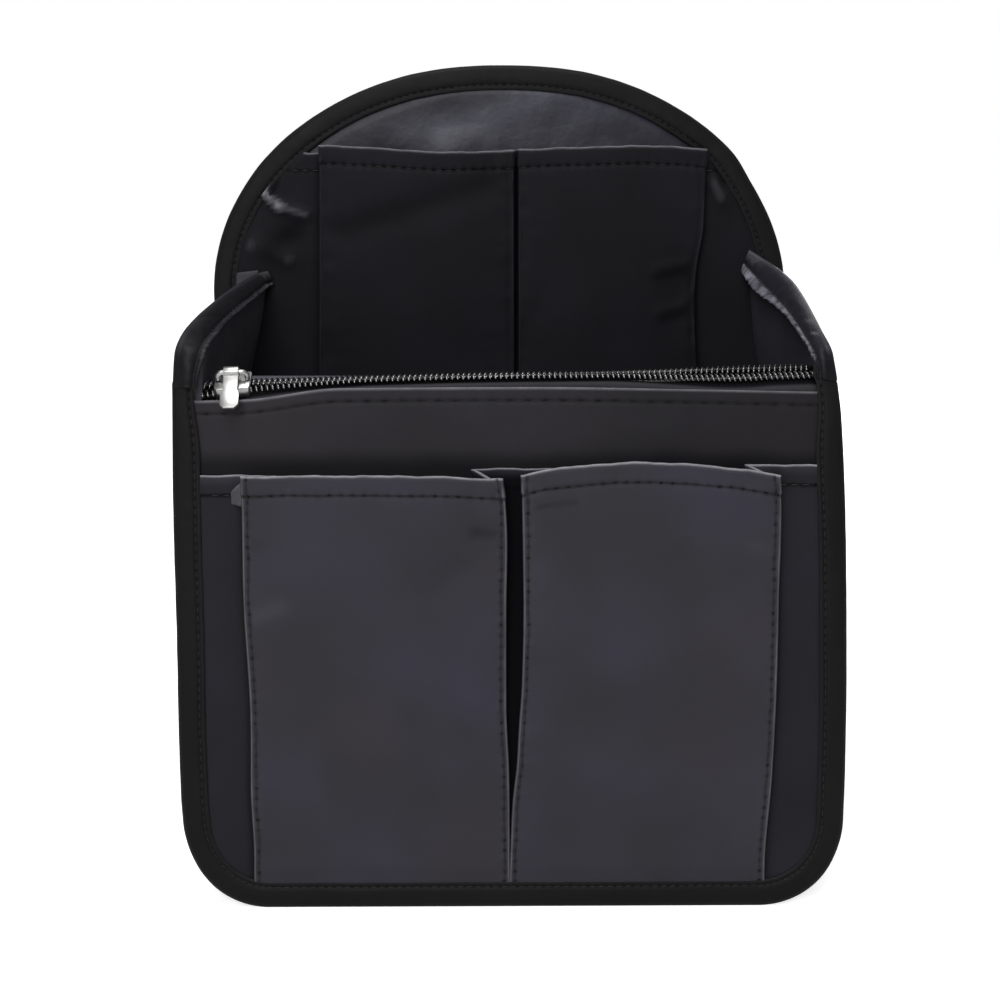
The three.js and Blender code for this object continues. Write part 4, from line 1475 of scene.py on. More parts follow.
@dataclass
class Panel:
    """A sheet of cloth as large as a wall, laid out in rings that follow the wall's edge.

    Attributes:
        name: the piece's name.
        node: the solid part that it stands for.
        outline: the wall's edge.
        centre: the point (x, height) that the rings close on.
        margin: distance of the sheet's edge from the outline in mm.
        place: puts (x, distance inwards, height) in the bag.
        depth: distance inwards of a point, from (x, height, distance to the outline).
        finish: the cloth.
        slot: its material slot.
        rests_on: what it is sewn to.
        tone: painted highlight above zero and painted shade below zero, at a point (x, height).
        rings: number of quads across the sheet.
        thickness: thickness of the cloth in mm.
    """

    name: str
    node: str
    outline: Outline
    centre: tuple[float, float]
    margin: float
    place: Place
    depth: Callable[[float, float, float], float]
    finish: ClothFinish
    slot: Slot
    rests_on: Sequence[str]
    tone: Callable[[float, float], float] = lambda x, z: 0.0
    rings: int = 120
    thickness: float = CLOTH_THICKNESS

    def build(self, bench: Bench) -> None:
        """Makes the sheet."""
        stations = [2.0 * i / self.rings - 1.0 for i in range(self.rings + 1)]
        cloth = Cloth(self.name, stations, stations)
        centre = Vector(self.centre)
        spread: list[Vector] = []

        def rule(i: int, j: int) -> Spot:
            """Sends square rings of the grid to rings round the centre."""
            u, v = stations[i], stations[j]
            ring = max(abs(u), abs(v))
            if ring < 1e-6:
                flat, gap = centre.copy(), 80.0
            else:
                walk = self.walk(u / ring, v / ring)
                edge = self.outline.point(walk) - self.outline.outward(walk) * self.margin
                flat = centre.lerp(edge, ring)
                gap = self.margin + (edge - centre).length * (1.0 - ring)
            spread.append(flat)
            depth = self.depth(flat.x, flat.y, gap)
            return Spot(self.place(flat.x, depth, flat.y), self.tone(flat.x, flat.y))

        cloth.shape(rule)
        for face in cloth.bm.faces:
            for loop in face.loops:
                loop[cloth.uv].uv = (loop.vert.co.x, loop.vert.co.z)
        width = max(p.x for p in spread) - min(p.x for p in spread)
        tall = max(p.y for p in spread) - min(p.y for p in spread)
        area = sum(face.calc_area() for face in cloth.bm.faces)
        obj = bench.piece(
            self.name, cloth.bm, self.finish, self.slot, replaces=[self.node], thickness=self.thickness
        )
        bench.sheet(obj, width, tall, Hold.STRETCHED, self.rests_on, min(0.999, area / (width * tall)))

    def walk(self, u: float, v: float) -> float:
        """Length along the outline for a point of the unit square's edge, from the top left down."""
        if u <= -1.0 + 1e-9:
            quarter = (1.0 - v) / 2
        elif v <= -1.0 + 1e-9:
            quarter = 1.0 + (u + 1.0) / 2
        elif u >= 1.0 - 1e-9:
            quarter = 2.0 + (v + 1.0) / 2
        else:
            quarter = 3.0 + (1.0 - u) / 2
        return curve_length(self.outline, quarter)


def curve_length(outline: Outline, quarter: float) -> float:
    """Length along a closed outline for a place of 0 to 4 on a square: left, base, right and top."""
    side = SIZES.spring - SIZES.corner
    bend = SIZES.corner * math.pi / 2
    base = 2 * (SIZES.half_width - SIZES.corner)
    marks = [0.0, side + bend / 2, side + 1.5 * bend + base, 2 * side + 2 * bend + base, outline.length]
    index = min(3, int(quarter))
    return lerp(marks[index], marks[index + 1], quarter - index)


class BackWall:
    """The arched back wall: shell, lining, inner pockets and binding."""

    def __init__(self, bench: Bench) -> None:
        self.bench = bench
        self.outline = Outline.back()

    def lining_depth(self, x: float, height: float, gap: float) -> float:
        """The lining steps over the board and ripples above the pockets."""
        sunk = 1.5 * smoothstep(240.0, 262.0, height) * bell(x, 26.0)
        step = lerp(0.9, 2.0, smoothstep(7.6, 9.2, gap + sunk))
        loose = smoothstep(9.0, 22.0, gap)
        ripples = 0.9 * ripple(x / 26.0, height / 14.0, 2.0) + 0.3 * ripple(x / 9.0, height / 6.5, 5.0)
        return step + loose * max(-0.3, ripples)

    @staticmethod
    def lining_painted_light(x: float, height: float) -> float:
        """Painted light on the lining: a painted sheen band slants over the arch, with painted shade on its
        sides and at its upper left.
        """
        sheen_band = Crease((-22.0, 246.0), (12.0, 260.0), 5.5, 0.0).lift(x, height)
        # Painted shade towards both sides of the arch.
        dull = 0.22 * smoothstep(-22.0, -50.0, x) if x < -22.0 else 0.2 * smoothstep(14.0, 45.0, x)
        upper_shade = 0.16 * bell(x + 24.0, 22.0) * smoothstep(250.0, 258.0, height)
        return 0.3 * sheen_band - (dull + upper_shade) * (1.0 - sheen_band)

    @staticmethod
    def on_field(x: float, depth: float, height: float) -> Vector:
        """A point in front of the back wall's lining."""
        return Vector((x, SIZES.field_y - depth, height))

    def pockets(self) -> PleatedStrip:
        """The strip of inner pockets."""
        left = PocketCut(
            Side.LEFT,
            ((95.0, -3.2), (240.0, -3.4)),
            ((95.0, 69.5), (240.0, 64.8)),
            ((0.0, 240.2), (0.35, 239.6), (0.75, 241.2), (1.0, 242.0)),
        )
        right = PocketCut(
            Side.RIGHT,
            ((95.0, 4.8), (240.0, 5.2)),
            ((95.0, 69.6), (240.0, 71.5)),
            ((0.0, 240.6), (0.4, 241.4), (0.7, 241.8), (1.0, 240.6)),
        )
        return PleatedStrip(
            name="inner_pocket_cloth",
            node="inner_pocket_strip",
            wall="back_lining",
            cuts=(left, right),
            seam=4.2,
            seam_hem=240.6,
            margin_hem=(239.6, 239.6),
            foot=95.0,
            margin=lambda z: SIZES.back_half(z, 6.8),
            tuck=1.1,
            place=self.on_field,
            pleat=7.0,
            lift=4.0,
            crown=1.6,
            finish=SHADED_INNER_NYLON,
            seed=5.0,
            # Each crease's last number is its painted highlight, below zero its painted shade.
            creases=(
                Crease((-82.0, 232.0), (-85.6, 225.6), 1.0, 0.9, 0.5),
                Crease((-85.6, 225.6), (-80.0, 220.6), 1.3, 1.8, 0.7),
                Crease((-80.0, 220.6), (-71.0, 217.6), 1.5, 1.7, 0.3),
                Crease((-81.4, 230.0), (-82.6, 226.0), 1.1, -0.3, -1.0),
                Crease((-90.0, 207.0), (-78.0, 203.0), 3.6, 1.2, 0.2),
                Crease((-76.0, 212.0), (-84.0, 206.0), 4.0, -0.3, -0.5),
                Crease((76.0, 229.0), (79.0, 224.0), 2.6, 1.0, 0.18),
                Crease((75.5, 236.0), (80.0, 230.0), 1.2, -0.2, -0.8),
                Crease((66.0, 200.0), (56.0, 198.0), 2.2, 0.7, -0.3),
                Crease((66.0, 185.0), (58.0, 183.0), 2.0, 0.6, -0.3),
                Crease((-56.0, 212.0), (-6.0, 228.0), 5.0, -0.8, -0.2),
            ),
            margin_shade=0.08,
            fold_highlight=0.06,
            hem_highlight=0.8,
            is_edge_sewn=False,
        )

    def build(self) -> None:
        """Makes the pieces of the wall."""
        Panel(
            "back_shell_cloth", "back_shell", self.outline, (0.0, 132.0), 0.8, SIZES.on_back,
            lambda x, z, gap: 0.2 + smoothstep(8.0, 30.0, gap) * 0.5 * ripple(x / 40.0, z / 46.0, 9.0),
            SHADED_SHELL_NYLON, Slot.NYLON, ["back_stiffener"],
        ).build(self.bench)
        Panel(
            "back_lining_cloth", "back_lining", self.outline, (0.0, 132.0), 0.8, SIZES.on_back,
            self.lining_depth, LINING_CLOTH, Slot.LINING, ["back_stiffener"], self.lining_painted_light, 150,
        ).build(self.bench)
        self.pockets().build(self.bench)
        Binding(
            "back_binding_tape", "back_binding", self.outline, SIZES.on_back, 2.3, -0.55, 8.3, 8.5, 3.0
        ).build(self.bench)


class FrontWall:
    """The leaning front wall: shell with a hem under the zip, pleated pockets and binding."""

    HEM = ((-95.0, 161.9), (-82.0, 162.2), (-52.0, 165.7), (8.0, 166.0), (60.0, 165.2), (95.0, 164.5))
    HEM_DEPTH = 4.0
    FOOT = 0.9
    ROW_START = -93.0
    STITCH = StitchStyle(4.2, 5.5, 0.16)
    CUT = (208.0, 170.0)
    FILLED = 0.95

    def __init__(self, bench: Bench) -> None:
        self.bench = bench

    def hem_at(self, x: float) -> float:
        """Height along the wall of the fold under the zip."""
        return curve(self.HEM, x)

    def shell_spot(self, share: float, level: float) -> Spot:
        """Where a point of the shell goes; a level over 1 is on the part of the hem folded to the inside."""
        hem_depth = self.HEM_DEPTH
        rough_x = share * (SIZES.half_width - 2.0)
        top = self.hem_at(rough_x)
        over = max(0.0, level - 1.0)
        height = lerp(self.FOOT, top, min(1.0, level)) - over * 5.0
        x = share * (SIZES.front_half(height) - self.FOOT)
        from_top = top - height
        calm = smoothstep(2.0, 12.0, SIZES.front_half(height) - 8.5 - abs(x))
        slow = 0.5 * ripple(x / 36.0, height / 22.0, 21.0) + 0.2 * ripple(x / 13.0, height / 10.0, 23.0)
        out = calm * slow * smoothstep(1.0, 14.0, from_top)
        sewn = bell(from_top - hem_depth, 0.7)
        out -= 0.25 * sewn
        out += 0.3 * (1.0 - smoothstep(hem_depth - 0.6, hem_depth + 0.3, from_top))
        out += 0.14 * math.exp(-abs(from_top - hem_depth) / 3.0) * ripple(x / 3.6, height / 7.0, 27.0)
        # Painted highlight on the fold under the zip; painted shade along its row of stitches and towards the
        # right, where less light falls.
        light_and_wear = 1.1 * bell(from_top, 0.4) - 0.12 * sewn - 0.16 * smoothstep(15.0, 60.0, x)
        # Painted shadow of the pockets' mouths on the shell just above their hems.
        light_and_wear -= 0.5 * (1.0 - smoothstep(141.0, 148.0 + 1.5 * ripple(x / 14.0, 0.0, 29.0), height))
        inwards = 0.2 - out + smoothstep(0.0, 0.2, over) * 0.75
        run = (x - self.ROW_START) / self.STITCH.pitch
        return Spot(SIZES.on_front(x, inwards, height), light_and_wear, 1.0, from_top - hem_depth, run)

    def build_shell(self) -> None:
        """Makes the shell's cloth and the stitches of its hem."""
        shares = steps(-1.0, 1.0, 0.0125)
        levels = [
            *steps(0.0, 0.78, 0.015), *steps(0.785, 0.96, 0.007), *steps(0.964, 1.0, 0.003),
            1.04, 1.1, 1.3, 1.7, 2.0,
        ]
        cloth = Cloth("front_shell_cloth", [s * 104.0 for s in shares], [v * 164.0 for v in levels])
        cloth.shape(lambda i, j: self.shell_spot(shares[i], levels[j]))
        obj = self.bench.piece(
            cloth.name, cloth.bm, SHADED_SHELL_NYLON, Slot.NYLON, replaces=["front_shell"], thickness=CLOTH_THICKNESS
        )
        self.bench.sheet(obj, *self.CUT, Hold.STRETCHED, ["front_binding", "gusset"], self.FILLED)

        def walk(distance: float) -> Vector:
            """A point on the hem's row of stitches."""
            x = self.ROW_START + distance
            top = self.hem_at(x)
            share = x / (SIZES.front_half(top - self.HEM_DEPTH) - self.FOOT)
            spot = self.shell_spot(share, (top - self.HEM_DEPTH - self.FOOT) / (top - self.FOOT))
            return spot.place + Vector((0.0, -0.26, 0.0))

        Seam("front_hem_stitches").row(
            walk, -2 * self.ROW_START, Vector((0.0, -1.0, 0.1)), self.STITCH
        ).sew(self.bench, DARK_THREAD, Slot.NYLON)

    def pockets(self) -> PleatedStrip:
        """The strip of front pockets."""
        left = PocketCut(
            Side.LEFT,
            ((7.6, 0.6), (41.0, 0.6), (67.0, 1.4), (99.0, 1.2), (118.0, 0.8), (130.0, 1.2), (138.5, 2.3)),
            ((13.0, 82.6), (35.0, 82.2), (67.0, 81.2), (99.0, 81.9), (131.0, 81.2), (138.5, 81.2)),
            ((0.0, 138.3), (0.3, 139.4), (0.7, 139.7), (1.0, 139.2)),
        )
        right = PocketCut(
            Side.RIGHT,
            ((10.0, -0.5), (34.0, 0.6), (48.0, 2.1), (60.0, 2.8), (74.0, 3.8), (99.0, 4.4), (139.0, 4.0)),
            ((12.5, 79.6), (42.0, 80.9), (67.0, 81.4), (99.0, 81.7), (130.0, 82.4), (139.0, 82.1)),
            (
                (0.0, 139.6), (0.07, 140.9), (0.2, 142.2), (0.34, 143.2), (0.46, 143.6), (0.6, 143.3),
                (0.74, 142.4), (0.87, 141.2), (1.0, 139.3),
            ),
        )
        corners = (-84.8, 3.6, 130.4), (-81.7, 5.2, 129.8), (-81.0, 5.8, 137.6), (-85.0, 3.4, 134.0)
        places = tuple(SIZES.on_front(x, -depth, h) for x, depth, h in corners)
        return PleatedStrip(
            name="front_pocket_cloth",
            node="front_pocket_strip",
            wall="front_shell",
            cuts=(left, right),
            seam=0.6,
            seam_hem=141.0,
            margin_hem=(139.0, 142.0),
            foot=7.6,
            margin=lambda h: SIZES.front_half(h) - 6.6,
            tuck=0.45,
            place=lambda x, depth, h: SIZES.on_front(x, -depth, h),
            pleat=9.0,
            lift=5.3,
            crown=1.8,
            finish=POCKET_NYLON,
            seed=13.0,
            # Each crease's last number is its painted highlight, below zero its painted shade.
            creases=(
                Crease((-5.0, 121.0), (-10.5, 121.6), 1.9, -0.5, -0.2),
                Crease((-24.0, 104.0), (-16.0, 112.0), 4.5, -0.4, -0.05),
                Crease((-70.0, 98.0), (-79.0, 95.0), 2.4, 0.5, 0.05),
                Crease((73.0, 118.0), (80.0, 115.6), 2.0, 0.4, 0.02),
                Crease((8.7, 129.4), (20.5, 130.6), 0.55, -0.25, -0.2),
            ),
            margin_shade=0.36,
            scraps=(Scrap("pocket_corner_fold", places, bow=0.5, light_and_wear=0.25),),
        )

    def build(self) -> None:
        """Makes the pieces of the wall."""
        self.build_shell()
        self.pockets().build(self.bench)
        Binding(
            "front_binding_tape", "front_binding", Outline.front(SIZES.front_top - 7.0), SIZES.on_front,
            -0.75, 1.75, 8.5, 7.5, 7.0, 1.0,
        ).build(self.bench)


@dataclass(frozen=True)
class TapeGuide:
    """The course of a tape over a top edge of the gusset in mm, where the soft bag has it.

    Attributes:
        fold: points of its fold, from the front corner to the tail.
        sewn: points of its row of stitches beside them.
    """

    fold: tuple[tuple[float, float, float], ...]
    sewn: tuple[tuple[float, float, float], ...]

    @staticmethod
    def smooth(points: Sequence[tuple[float, float, float]], share: float) -> Vector:
        """A point of a smooth path through points."""
        last = len(points) - 1
        place = min(0.99999, max(0.0, share)) * last
        index = int(place)
        t = place - index
        a, b, c, d = (Vector(points[min(last, max(0, index + k))]) for k in (-1, 0, 1, 2))
        return 0.5 * (
            2 * b + (c - a) * t + (2 * a - 5 * b + 4 * c - d) * t * t + (3 * b - a - 3 * c + d) * t**3
        )

    def at(self, share: float) -> tuple[Vector, Vector, Vector]:
        """The fold, the row of stitches and the way the seen leg faces, at a share of the length."""
        fold, sewn = self.smooth(self.fold, share), self.smooth(self.sewn, share)
        along = Vector()
        for points in (self.fold, self.sewn):
            along += self.smooth(points, share + 0.025) - self.smooth(points, share - 0.025)
        face = along.cross(fold - sewn).normalized()
        return fold, sewn, face * math.copysign(1.0, face.dot(Vector((0.0, -200.0, 230.0)) - fold))

    def between(self, y: float) -> tuple[Vector, Vector]:
        """Points between the tape's legs at its fold and its stitches, where the upright bag has them."""
        found = []
        for points in (self.fold, self.sewn):
            low, high = 0.0, 1.0
            for _ in range(20):
                middle = (low + high) / 2
                low, high = (middle, high) if self.smooth(points, middle).y < y else (low, middle)
            found.append(SWAY.undo(self.smooth(points, low) - self.at(low)[2] * 0.75))
        return found[0], found[1]


TAPE_GUIDES = {
    Side.LEFT: TapeGuide(
        (
            (-104.3, -37.4, 163.1), (-104.2, -36.6, 169.2), (-103.7, -34.8, 175.8), (-103.0, -31.5, 179.5),
            (-101.4, -25.0, 183.2), (-99.8, -12.0, 186.5), (-98.0, 5.0, 189.7), (-95.2, 22.0, 193.0),
            (-92.4, 37.0, 195.8), (-90.0, 44.0, 197.3), (-86.3, 46.2, 198.1),
        ),
        (
            (-98.2, -37.4, 163.1), (-97.6, -36.8, 168.6), (-96.6, -35.2, 173.7), (-95.9, -31.5, 177.6),
            (-95.4, -21.0, 180.5), (-94.6, -4.0, 183.7), (-92.5, 13.0, 187.1), (-90.3, 29.0, 189.9),
            (-88.3, 39.0, 192.0), (-86.9, 44.0, 193.4), (-84.9, 45.8, 194.2),
        ),
    ),
    Side.RIGHT: TapeGuide(
        (
            (100.9, -37.2, 164.8), (100.4, -36.4, 169.9), (99.4, -35.0, 174.7), (98.4, -32.0, 178.3),
            (97.6, -24.0, 181.9), (97.7, -10.0, 186.3), (97.8, 8.0, 191.6), (97.2, 22.0, 195.8),
            (95.2, 35.0, 199.3), (91.6, 43.0, 202.4), (86.7, 46.2, 205.5),
        ),
        (
            (95.2, -37.2, 165.4), (95.0, -36.6, 170.3), (94.4, -34.8, 173.8), (93.9, -30.0, 176.8),
            (93.6, -18.0, 180.5), (93.6, -4.0, 183.9), (93.2, 12.0, 187.6), (91.7, 24.0, 191.0),
            (89.7, 35.0, 194.3), (87.4, 42.5, 197.8), (85.0, 45.8, 200.9),
        ),
    ),
}


class Gusset:
    """The strip between the walls and the tape over its top edges."""

    SEWN_RISE = 0.95
    END = 4.99999
    CUT = (108.0, 580.0)

    def __init__(self, bench: Bench) -> None:
        self.bench = bench
        self.rims: dict[tuple[Side, float], tuple[Vector, Vector]] = {}

    def edge(self, walk: float, is_front: bool) -> tuple[Vector, Vector, float]:
        """A point of the walls' edges.

        Args:
            walk: place from 0 to 5: left side, corner, base, corner and right side.
            is_front: whether the front or the back wall is meant.

        Returns:
            The point (x, height), its outward direction, and its height as a share of the side.
        """
        leg = min(4, int(walk))
        share = walk - leg
        side = Side.LEFT if leg < 2 else Side.RIGHT
        tall = SIZES.front_top if is_front else SIZES.gusset_back
        if leg in (0, 4):
            rise = 1.0 - share if leg == 0 else share
            height = lerp(SIZES.corner, tall, rise)
            half = SIZES.front_half(height) if is_front else SIZES.back_half(height)
            return Vector((side.value * half, height)), Vector((side.value, 0.0)), rise
        if leg == 2:
            span = SIZES.half_width - SIZES.corner
            return Vector((lerp(-span, span, share), 0.0)), Vector((0.0, -1.0)), 0.0
        turn = (math.pi if side is Side.LEFT else 1.5 * math.pi) + share * math.pi / 2
        out = Vector((math.cos(turn), math.sin(turn)))
        centre = Vector((side.value * (SIZES.half_width - SIZES.corner), SIZES.corner))
        return centre + out * SIZES.corner, out, 0.0

    def loft(self, walk: float, across: float) -> Vector:
        """A point of the plain strip, by its place along it and over its width."""
        near, near_out, rise = self.edge(walk, True)
        far, far_out, _ = self.edge(walk, False)
        near_in, far_in = 8.0, 8.2 + 5.0 * smoothstep(0.5, 1.0, rise)
        if across < 0.0:
            near_in = lerp(near_in, 1.2, -across)
        if across > 1.0:
            far_in = lerp(far_in, 1.2, across - 1.0)
        a, b = near - near_out * near_in, far - far_out * far_in
        a.y -= 10.0 * smoothstep(0.9, 1.0, rise) * max(0.0, -across)
        front, back = SIZES.on_front(a.x, 1.2, a.y), SIZES.on_back(b.x, 1.7, b.y)
        return front.lerp(back, min(1.0, max(0.0, across)))

    def rim(self, side: Side, across: float) -> tuple[Vector, Vector]:
        """How far the strip moves at its tape's fold and stitches to lie between the tape's legs."""
        share = min(1.0, max(0.0, across))
        if (side, share) not in self.rims:
            down = 1.0 - self.SEWN_RISE
            top, sewn = (
                self.loft(w if side is Side.LEFT else self.END - w, share) for w in (0.0, down)
            )
            at_top, at_sewn = TAPE_GUIDES[side].between(min(43.0, max(-31.5, top.y)))
            self.rims[side, share] = at_top - top, at_sewn - sewn
        return self.rims[side, share]

    def spot(self, walk: float, across: float) -> Spot:
        """Where a point of the gusset goes.

        Args:
            walk: place along the strip from 0 to 5.
            across: place over its width: below 0 and above 1 are the seam allowances.

        Returns:
            The spot.
        """
        near_out, rise = self.edge(walk, True)[1:]
        far_out = self.edge(walk, False)[1]
        share = min(1.0, max(0.0, across))
        place = self.loft(walk, across)
        out = near_out.lerp(far_out, share)
        bow = math.sin(math.pi * share) * (1.0 - smoothstep(0.74, 0.97, rise))
        swell = bow * (1.6 if rise > 0 else 0.6) + bow * 0.9 * ripple(walk * 3.1, share * 2.2, 31.0)
        swell += bow * 0.35 * ripple(walk * 11.0, share * 6.0, 33.0)
        place.x += out.x * swell
        place.z += out.y * swell * 0.4
        if rise > 0.7:
            top, sewn = self.rim(Side.LEFT if walk < 2 else Side.RIGHT, across)
            low = sewn * smoothstep(0.7, self.SEWN_RISE, rise)
            move = low.lerp(top, max(0.0, (rise - self.SEWN_RISE) / (1.0 - self.SEWN_RISE)))
            fade = 1.0 - smoothstep(0.0, 1.0, max(-across, across - 1.0))
            place += Vector((move.x, max(0.0, move.y), move.z)) * fade
        # Painted light: the left half of the strip is lightened strongly, the right half a little.
        return Spot(place, 0.9 if walk < 2 else 0.1)

    def build_cloth(self) -> None:
        """Makes the strip."""
        walks = [
            *steps(0.0, 0.985, 0.0135), *steps(1.0, 1.95, 0.05), *steps(2.0, 2.98, 0.02),
            *steps(3.0, 3.95, 0.05), *steps(4.0, 5.0, 0.0135),
        ]
        across = [-1.0, -0.5, -0.1, *steps(0.0, 1.0, 0.0275), 1.1, 1.5, 2.0]
        cloth = Cloth("gusset_cloth", [w * 125.0 for w in walks], [a * 92.0 for a in across])
        cloth.shape(lambda i, j: self.spot(min(walks[i], self.END), across[j]))
        obj = self.bench.piece(
            cloth.name, cloth.bm, GUSSET_NYLON, Slot.NYLON, replaces=["gusset"], thickness=CLOTH_THICKNESS
        )
        corners = (-96.6, 45.6, 191.5), (-87.6, 45.2, 192.5), (-88.6, 46.2, 198.3), (-96.2, 46.4, 197.4)
        scrap = Scrap("gusset_tail", tuple(Vector(p) for p in corners), bow=0.3, light_and_wear=0.25)
        tail = scrap.build(self.bench, GUSSET_NYLON)
        self.bench.sheet(obj, *self.CUT, Hold.STRETCHED, ["front_binding", "back_binding"], ends=[tail])

    def build(self) -> None:
        """Makes the strip and the tapes."""
        self.build_cloth()
        for side in Side:
            SideTape(side).build(self.bench)


@dataclass
class SideTape:
    """Tape folded over one top edge of the gusset, from the front corner to a cut tail at the back wall.

    Attributes:
        side: the edge it is on.
        tape: thickness of the tape in mm.
        run: length in mm by which its unevenness and its stitches are counted.
        style: its stitches.
    """

    side: Side
    tape: float = TAPE_THICKNESS
    run: float = 128.0
    style: StitchStyle = field(default_factory=lambda: StitchStyle(2.1, 2.8, 0.16))

    @property
    def start(self) -> float:
        """Share of the course at which the tape starts on the front binding."""
        return 0.05 if self.side is Side.LEFT else 0.06

    @property
    def guide(self) -> TapeGuide:
        """The tape's course."""
        return TAPE_GUIDES[self.side]

    def length(self) -> float:
        """Length of the tape's fold."""
        points = [self.guide.smooth(self.guide.fold, i / 60) for i in range(61)]
        return sum((b - a).length for a, b in zip(points, points[1:]))

    @staticmethod
    def section() -> list[tuple[float, float]]:
        """The line across the tape: share of the way from the stitches to the fold, and degrees round it."""
        seen = (-0.3, -0.22, -0.14, -0.06, 0.02, 0.1, 0.2, 0.32, 0.45, 0.58, 0.7, 0.8, 0.9, 0.97)
        fold = [(1.0, 22.5 * i) for i in range(9)]
        return [*[(u, 0.0) for u in seen], *fold, *[(u, 180.0) for u in (0.9, 0.7, 0.5, 0.3, 0.1)]]

    def spot(self, share: float, line: tuple[float, float]) -> Spot:
        """Where a point of the tape goes."""
        u, turn = line[0], math.radians(line[1])
        fold, sewn, face = self.guide.at(share)
        half = lerp(4.4, 1.5, smoothstep(0.06, 0.42, share)) / 2
        width = fold - sewn
        length = share * self.run
        seed = 41.0 + self.side.value
        out = width.normalized()
        place = sewn + (width - out * half) * u - face * half * (1.0 - math.cos(turn))
        place += out * half * math.sin(turn)
        from_sewn = u * width.length - 0.2
        full = math.sin(math.pi * min(1.0, max(0.0, u)))
        swell = 0.7 + 0.5 * ripple(length / 10.0, 0.0, seed) + 0.25 * ripple(length / 4.5, u * 2, seed + 2)
        swell = full * swell - 0.4 * bell(from_sewn, 0.7)
        raw = smoothstep(0.0, 0.14, -u) * smoothstep(0.16, 0.24, share)
        swell += raw * (0.25 + 0.5 * ripple(length / 3.0, u * 3, seed + 4))
        swell -= 0.35 * (1.0 - smoothstep(self.start, self.start + 0.06, share))
        place += face * swell * (1.0 if turn < 1.0 else -0.6)
        is_frayed = self.side is Side.RIGHT
        place -= out * raw * (0.9 if is_frayed else 0.3) * ripple(length / 1.4, 2.0, seed + 6)
        if is_frayed:
            place -= out * raw * 1.6 * smoothstep(0.5, 0.8, share) * smoothstep(0.1, 0.3, -u)
        mottle = 0.55 + 0.8 * ripple(length / 2.6, u * 6.0, seed + 8)
        # Lighter mottled raw edge, a painted highlight on the fold's crest, painted shade along the row of
        # stitches, and darker towards the tape's start on the front binding.
        light_and_wear = raw * mottle * (0.75 if is_frayed else 0.3) + 0.12 * bell(u - 1.0, 0.1)
        light_and_wear -= 0.4 * bell(from_sewn, 0.35)
        light_and_wear -= (0.3 if is_frayed else 0.16) * (1.0 - smoothstep(0.1, 0.3, share))
        is_seen = line[1] == 0.0
        return Spot(place, light_and_wear, 1.0, from_sewn if is_seen else UNSEWN, length / self.style.pitch)

    def build(self, bench: Bench) -> None:
        """Makes the tape and its stitches."""
        name = f"{self.side.name.lower()}_side_binding"
        section, length = self.section(), self.length()
        shares = steps(self.start, 1.0, 0.0068)
        widths = run_lengths([self.spot(0.5, line).place for line in section])
        cloth = Cloth(f"{name}_tape", [s * length for s in shares], widths)
        cloth.shape(lambda i, j: self.spot(shares[i], section[j]))
        cut_length = length * (1.0 - self.start)
        cut_width = sum(face.calc_area() for face in cloth.bm.faces) / cut_length
        obj = bench.piece(
            cloth.name,
            cloth.bm,
            LEFT_TAIL_TAPE if self.side is Side.LEFT else LIT_RIGHT_TAIL_TAPE,
            Slot.BINDING,
            replaces=[name],
            thickness=self.tape,
            is_soft=False,
        )
        bench.sheet(obj, cut_width, cut_length, Hold.FOLDED, ["gusset"])

        def walk(distance: float) -> Vector:
            """A point of the row of stitches."""
            share = lerp(self.start, 1.0, distance / self.run)
            return self.spot(share, (0.02, 0.0)).place + self.guide.at(share)[2] * 0.28

        Seam(f"{name}_stitches").row(
            walk, self.run - 2.0, Vector((-self.side.value, -0.5, 0.4)), self.style
        ).sew(bench, BINDING_THREAD, Slot.BINDING, False)


# Zip


@dataclass
class ZipLine:
    """The zip's own frame: x along the chain, y across it towards the back, z out of its face.

    Attributes:
        set_back: chain centre behind the front wall's outer face.
        height: chain centre along the front wall.
        slant: angle by which the right end is higher.
        half: half the chain's length.
        turns: the chain's tilt against the front wall in degrees, by x.
        rises: how far the chain stands above its straight line, by x.
    """

    set_back: float = 6.0
    height: float = 167.3
    slant: float = math.radians(1.5)
    half: float = 97.8
    turns: tuple[tuple[float, float], ...] = (
        (-97.0, 50.0), (-90.0, 42.0), (-83.0, 34.0), (-74.0, 26.0), (-60.0, 15.0), (-40.0, 9.0), (30.0, 9.0),
        (45.0, 18.0), (54.0, 26.0), (64.0, 34.0), (72.0, 38.0), (77.0, 38.0), (83.0, 34.0), (95.0, 33.6),
        (98.0, 36.0),
    )
    rises: tuple[tuple[float, float], ...] = (
        (-95.0, -0.6), (-86.0, -0.15), (-75.0, 0.2), (-60.0, 0.5), (-40.0, 0.9), (-20.0, 0.95), (0.0, 0.8),
        (20.0, 0.45), (40.0, 0.13), (60.0, -0.15), (75.0, -0.2), (85.0, -0.17), (95.0, -0.13),
    )

    def tilt(self, x: float) -> float:
        """The chain's tilt against the front wall."""
        return math.radians(curve(self.turns, x))

    def on_wall(self, x: float, inwards: float, height: float) -> Vector:
        """A point given in the front wall's frame before the slant."""
        rise = height - self.height + curve(self.rises, x)
        sine, cosine = math.sin(self.slant), math.cos(self.slant)
        return SIZES.on_front(x * cosine - rise * sine, inwards, self.height + x * sine + rise * cosine)

    def at(self, x: float, y: float, z: float) -> Vector:
        """A point given in the zip's frame."""
        sine, cosine = math.sin(self.tilt(x)), math.cos(self.tilt(x))
        return self.on_wall(x, self.set_back + y * cosine - z * sine, self.height + y * sine + z * cosine)


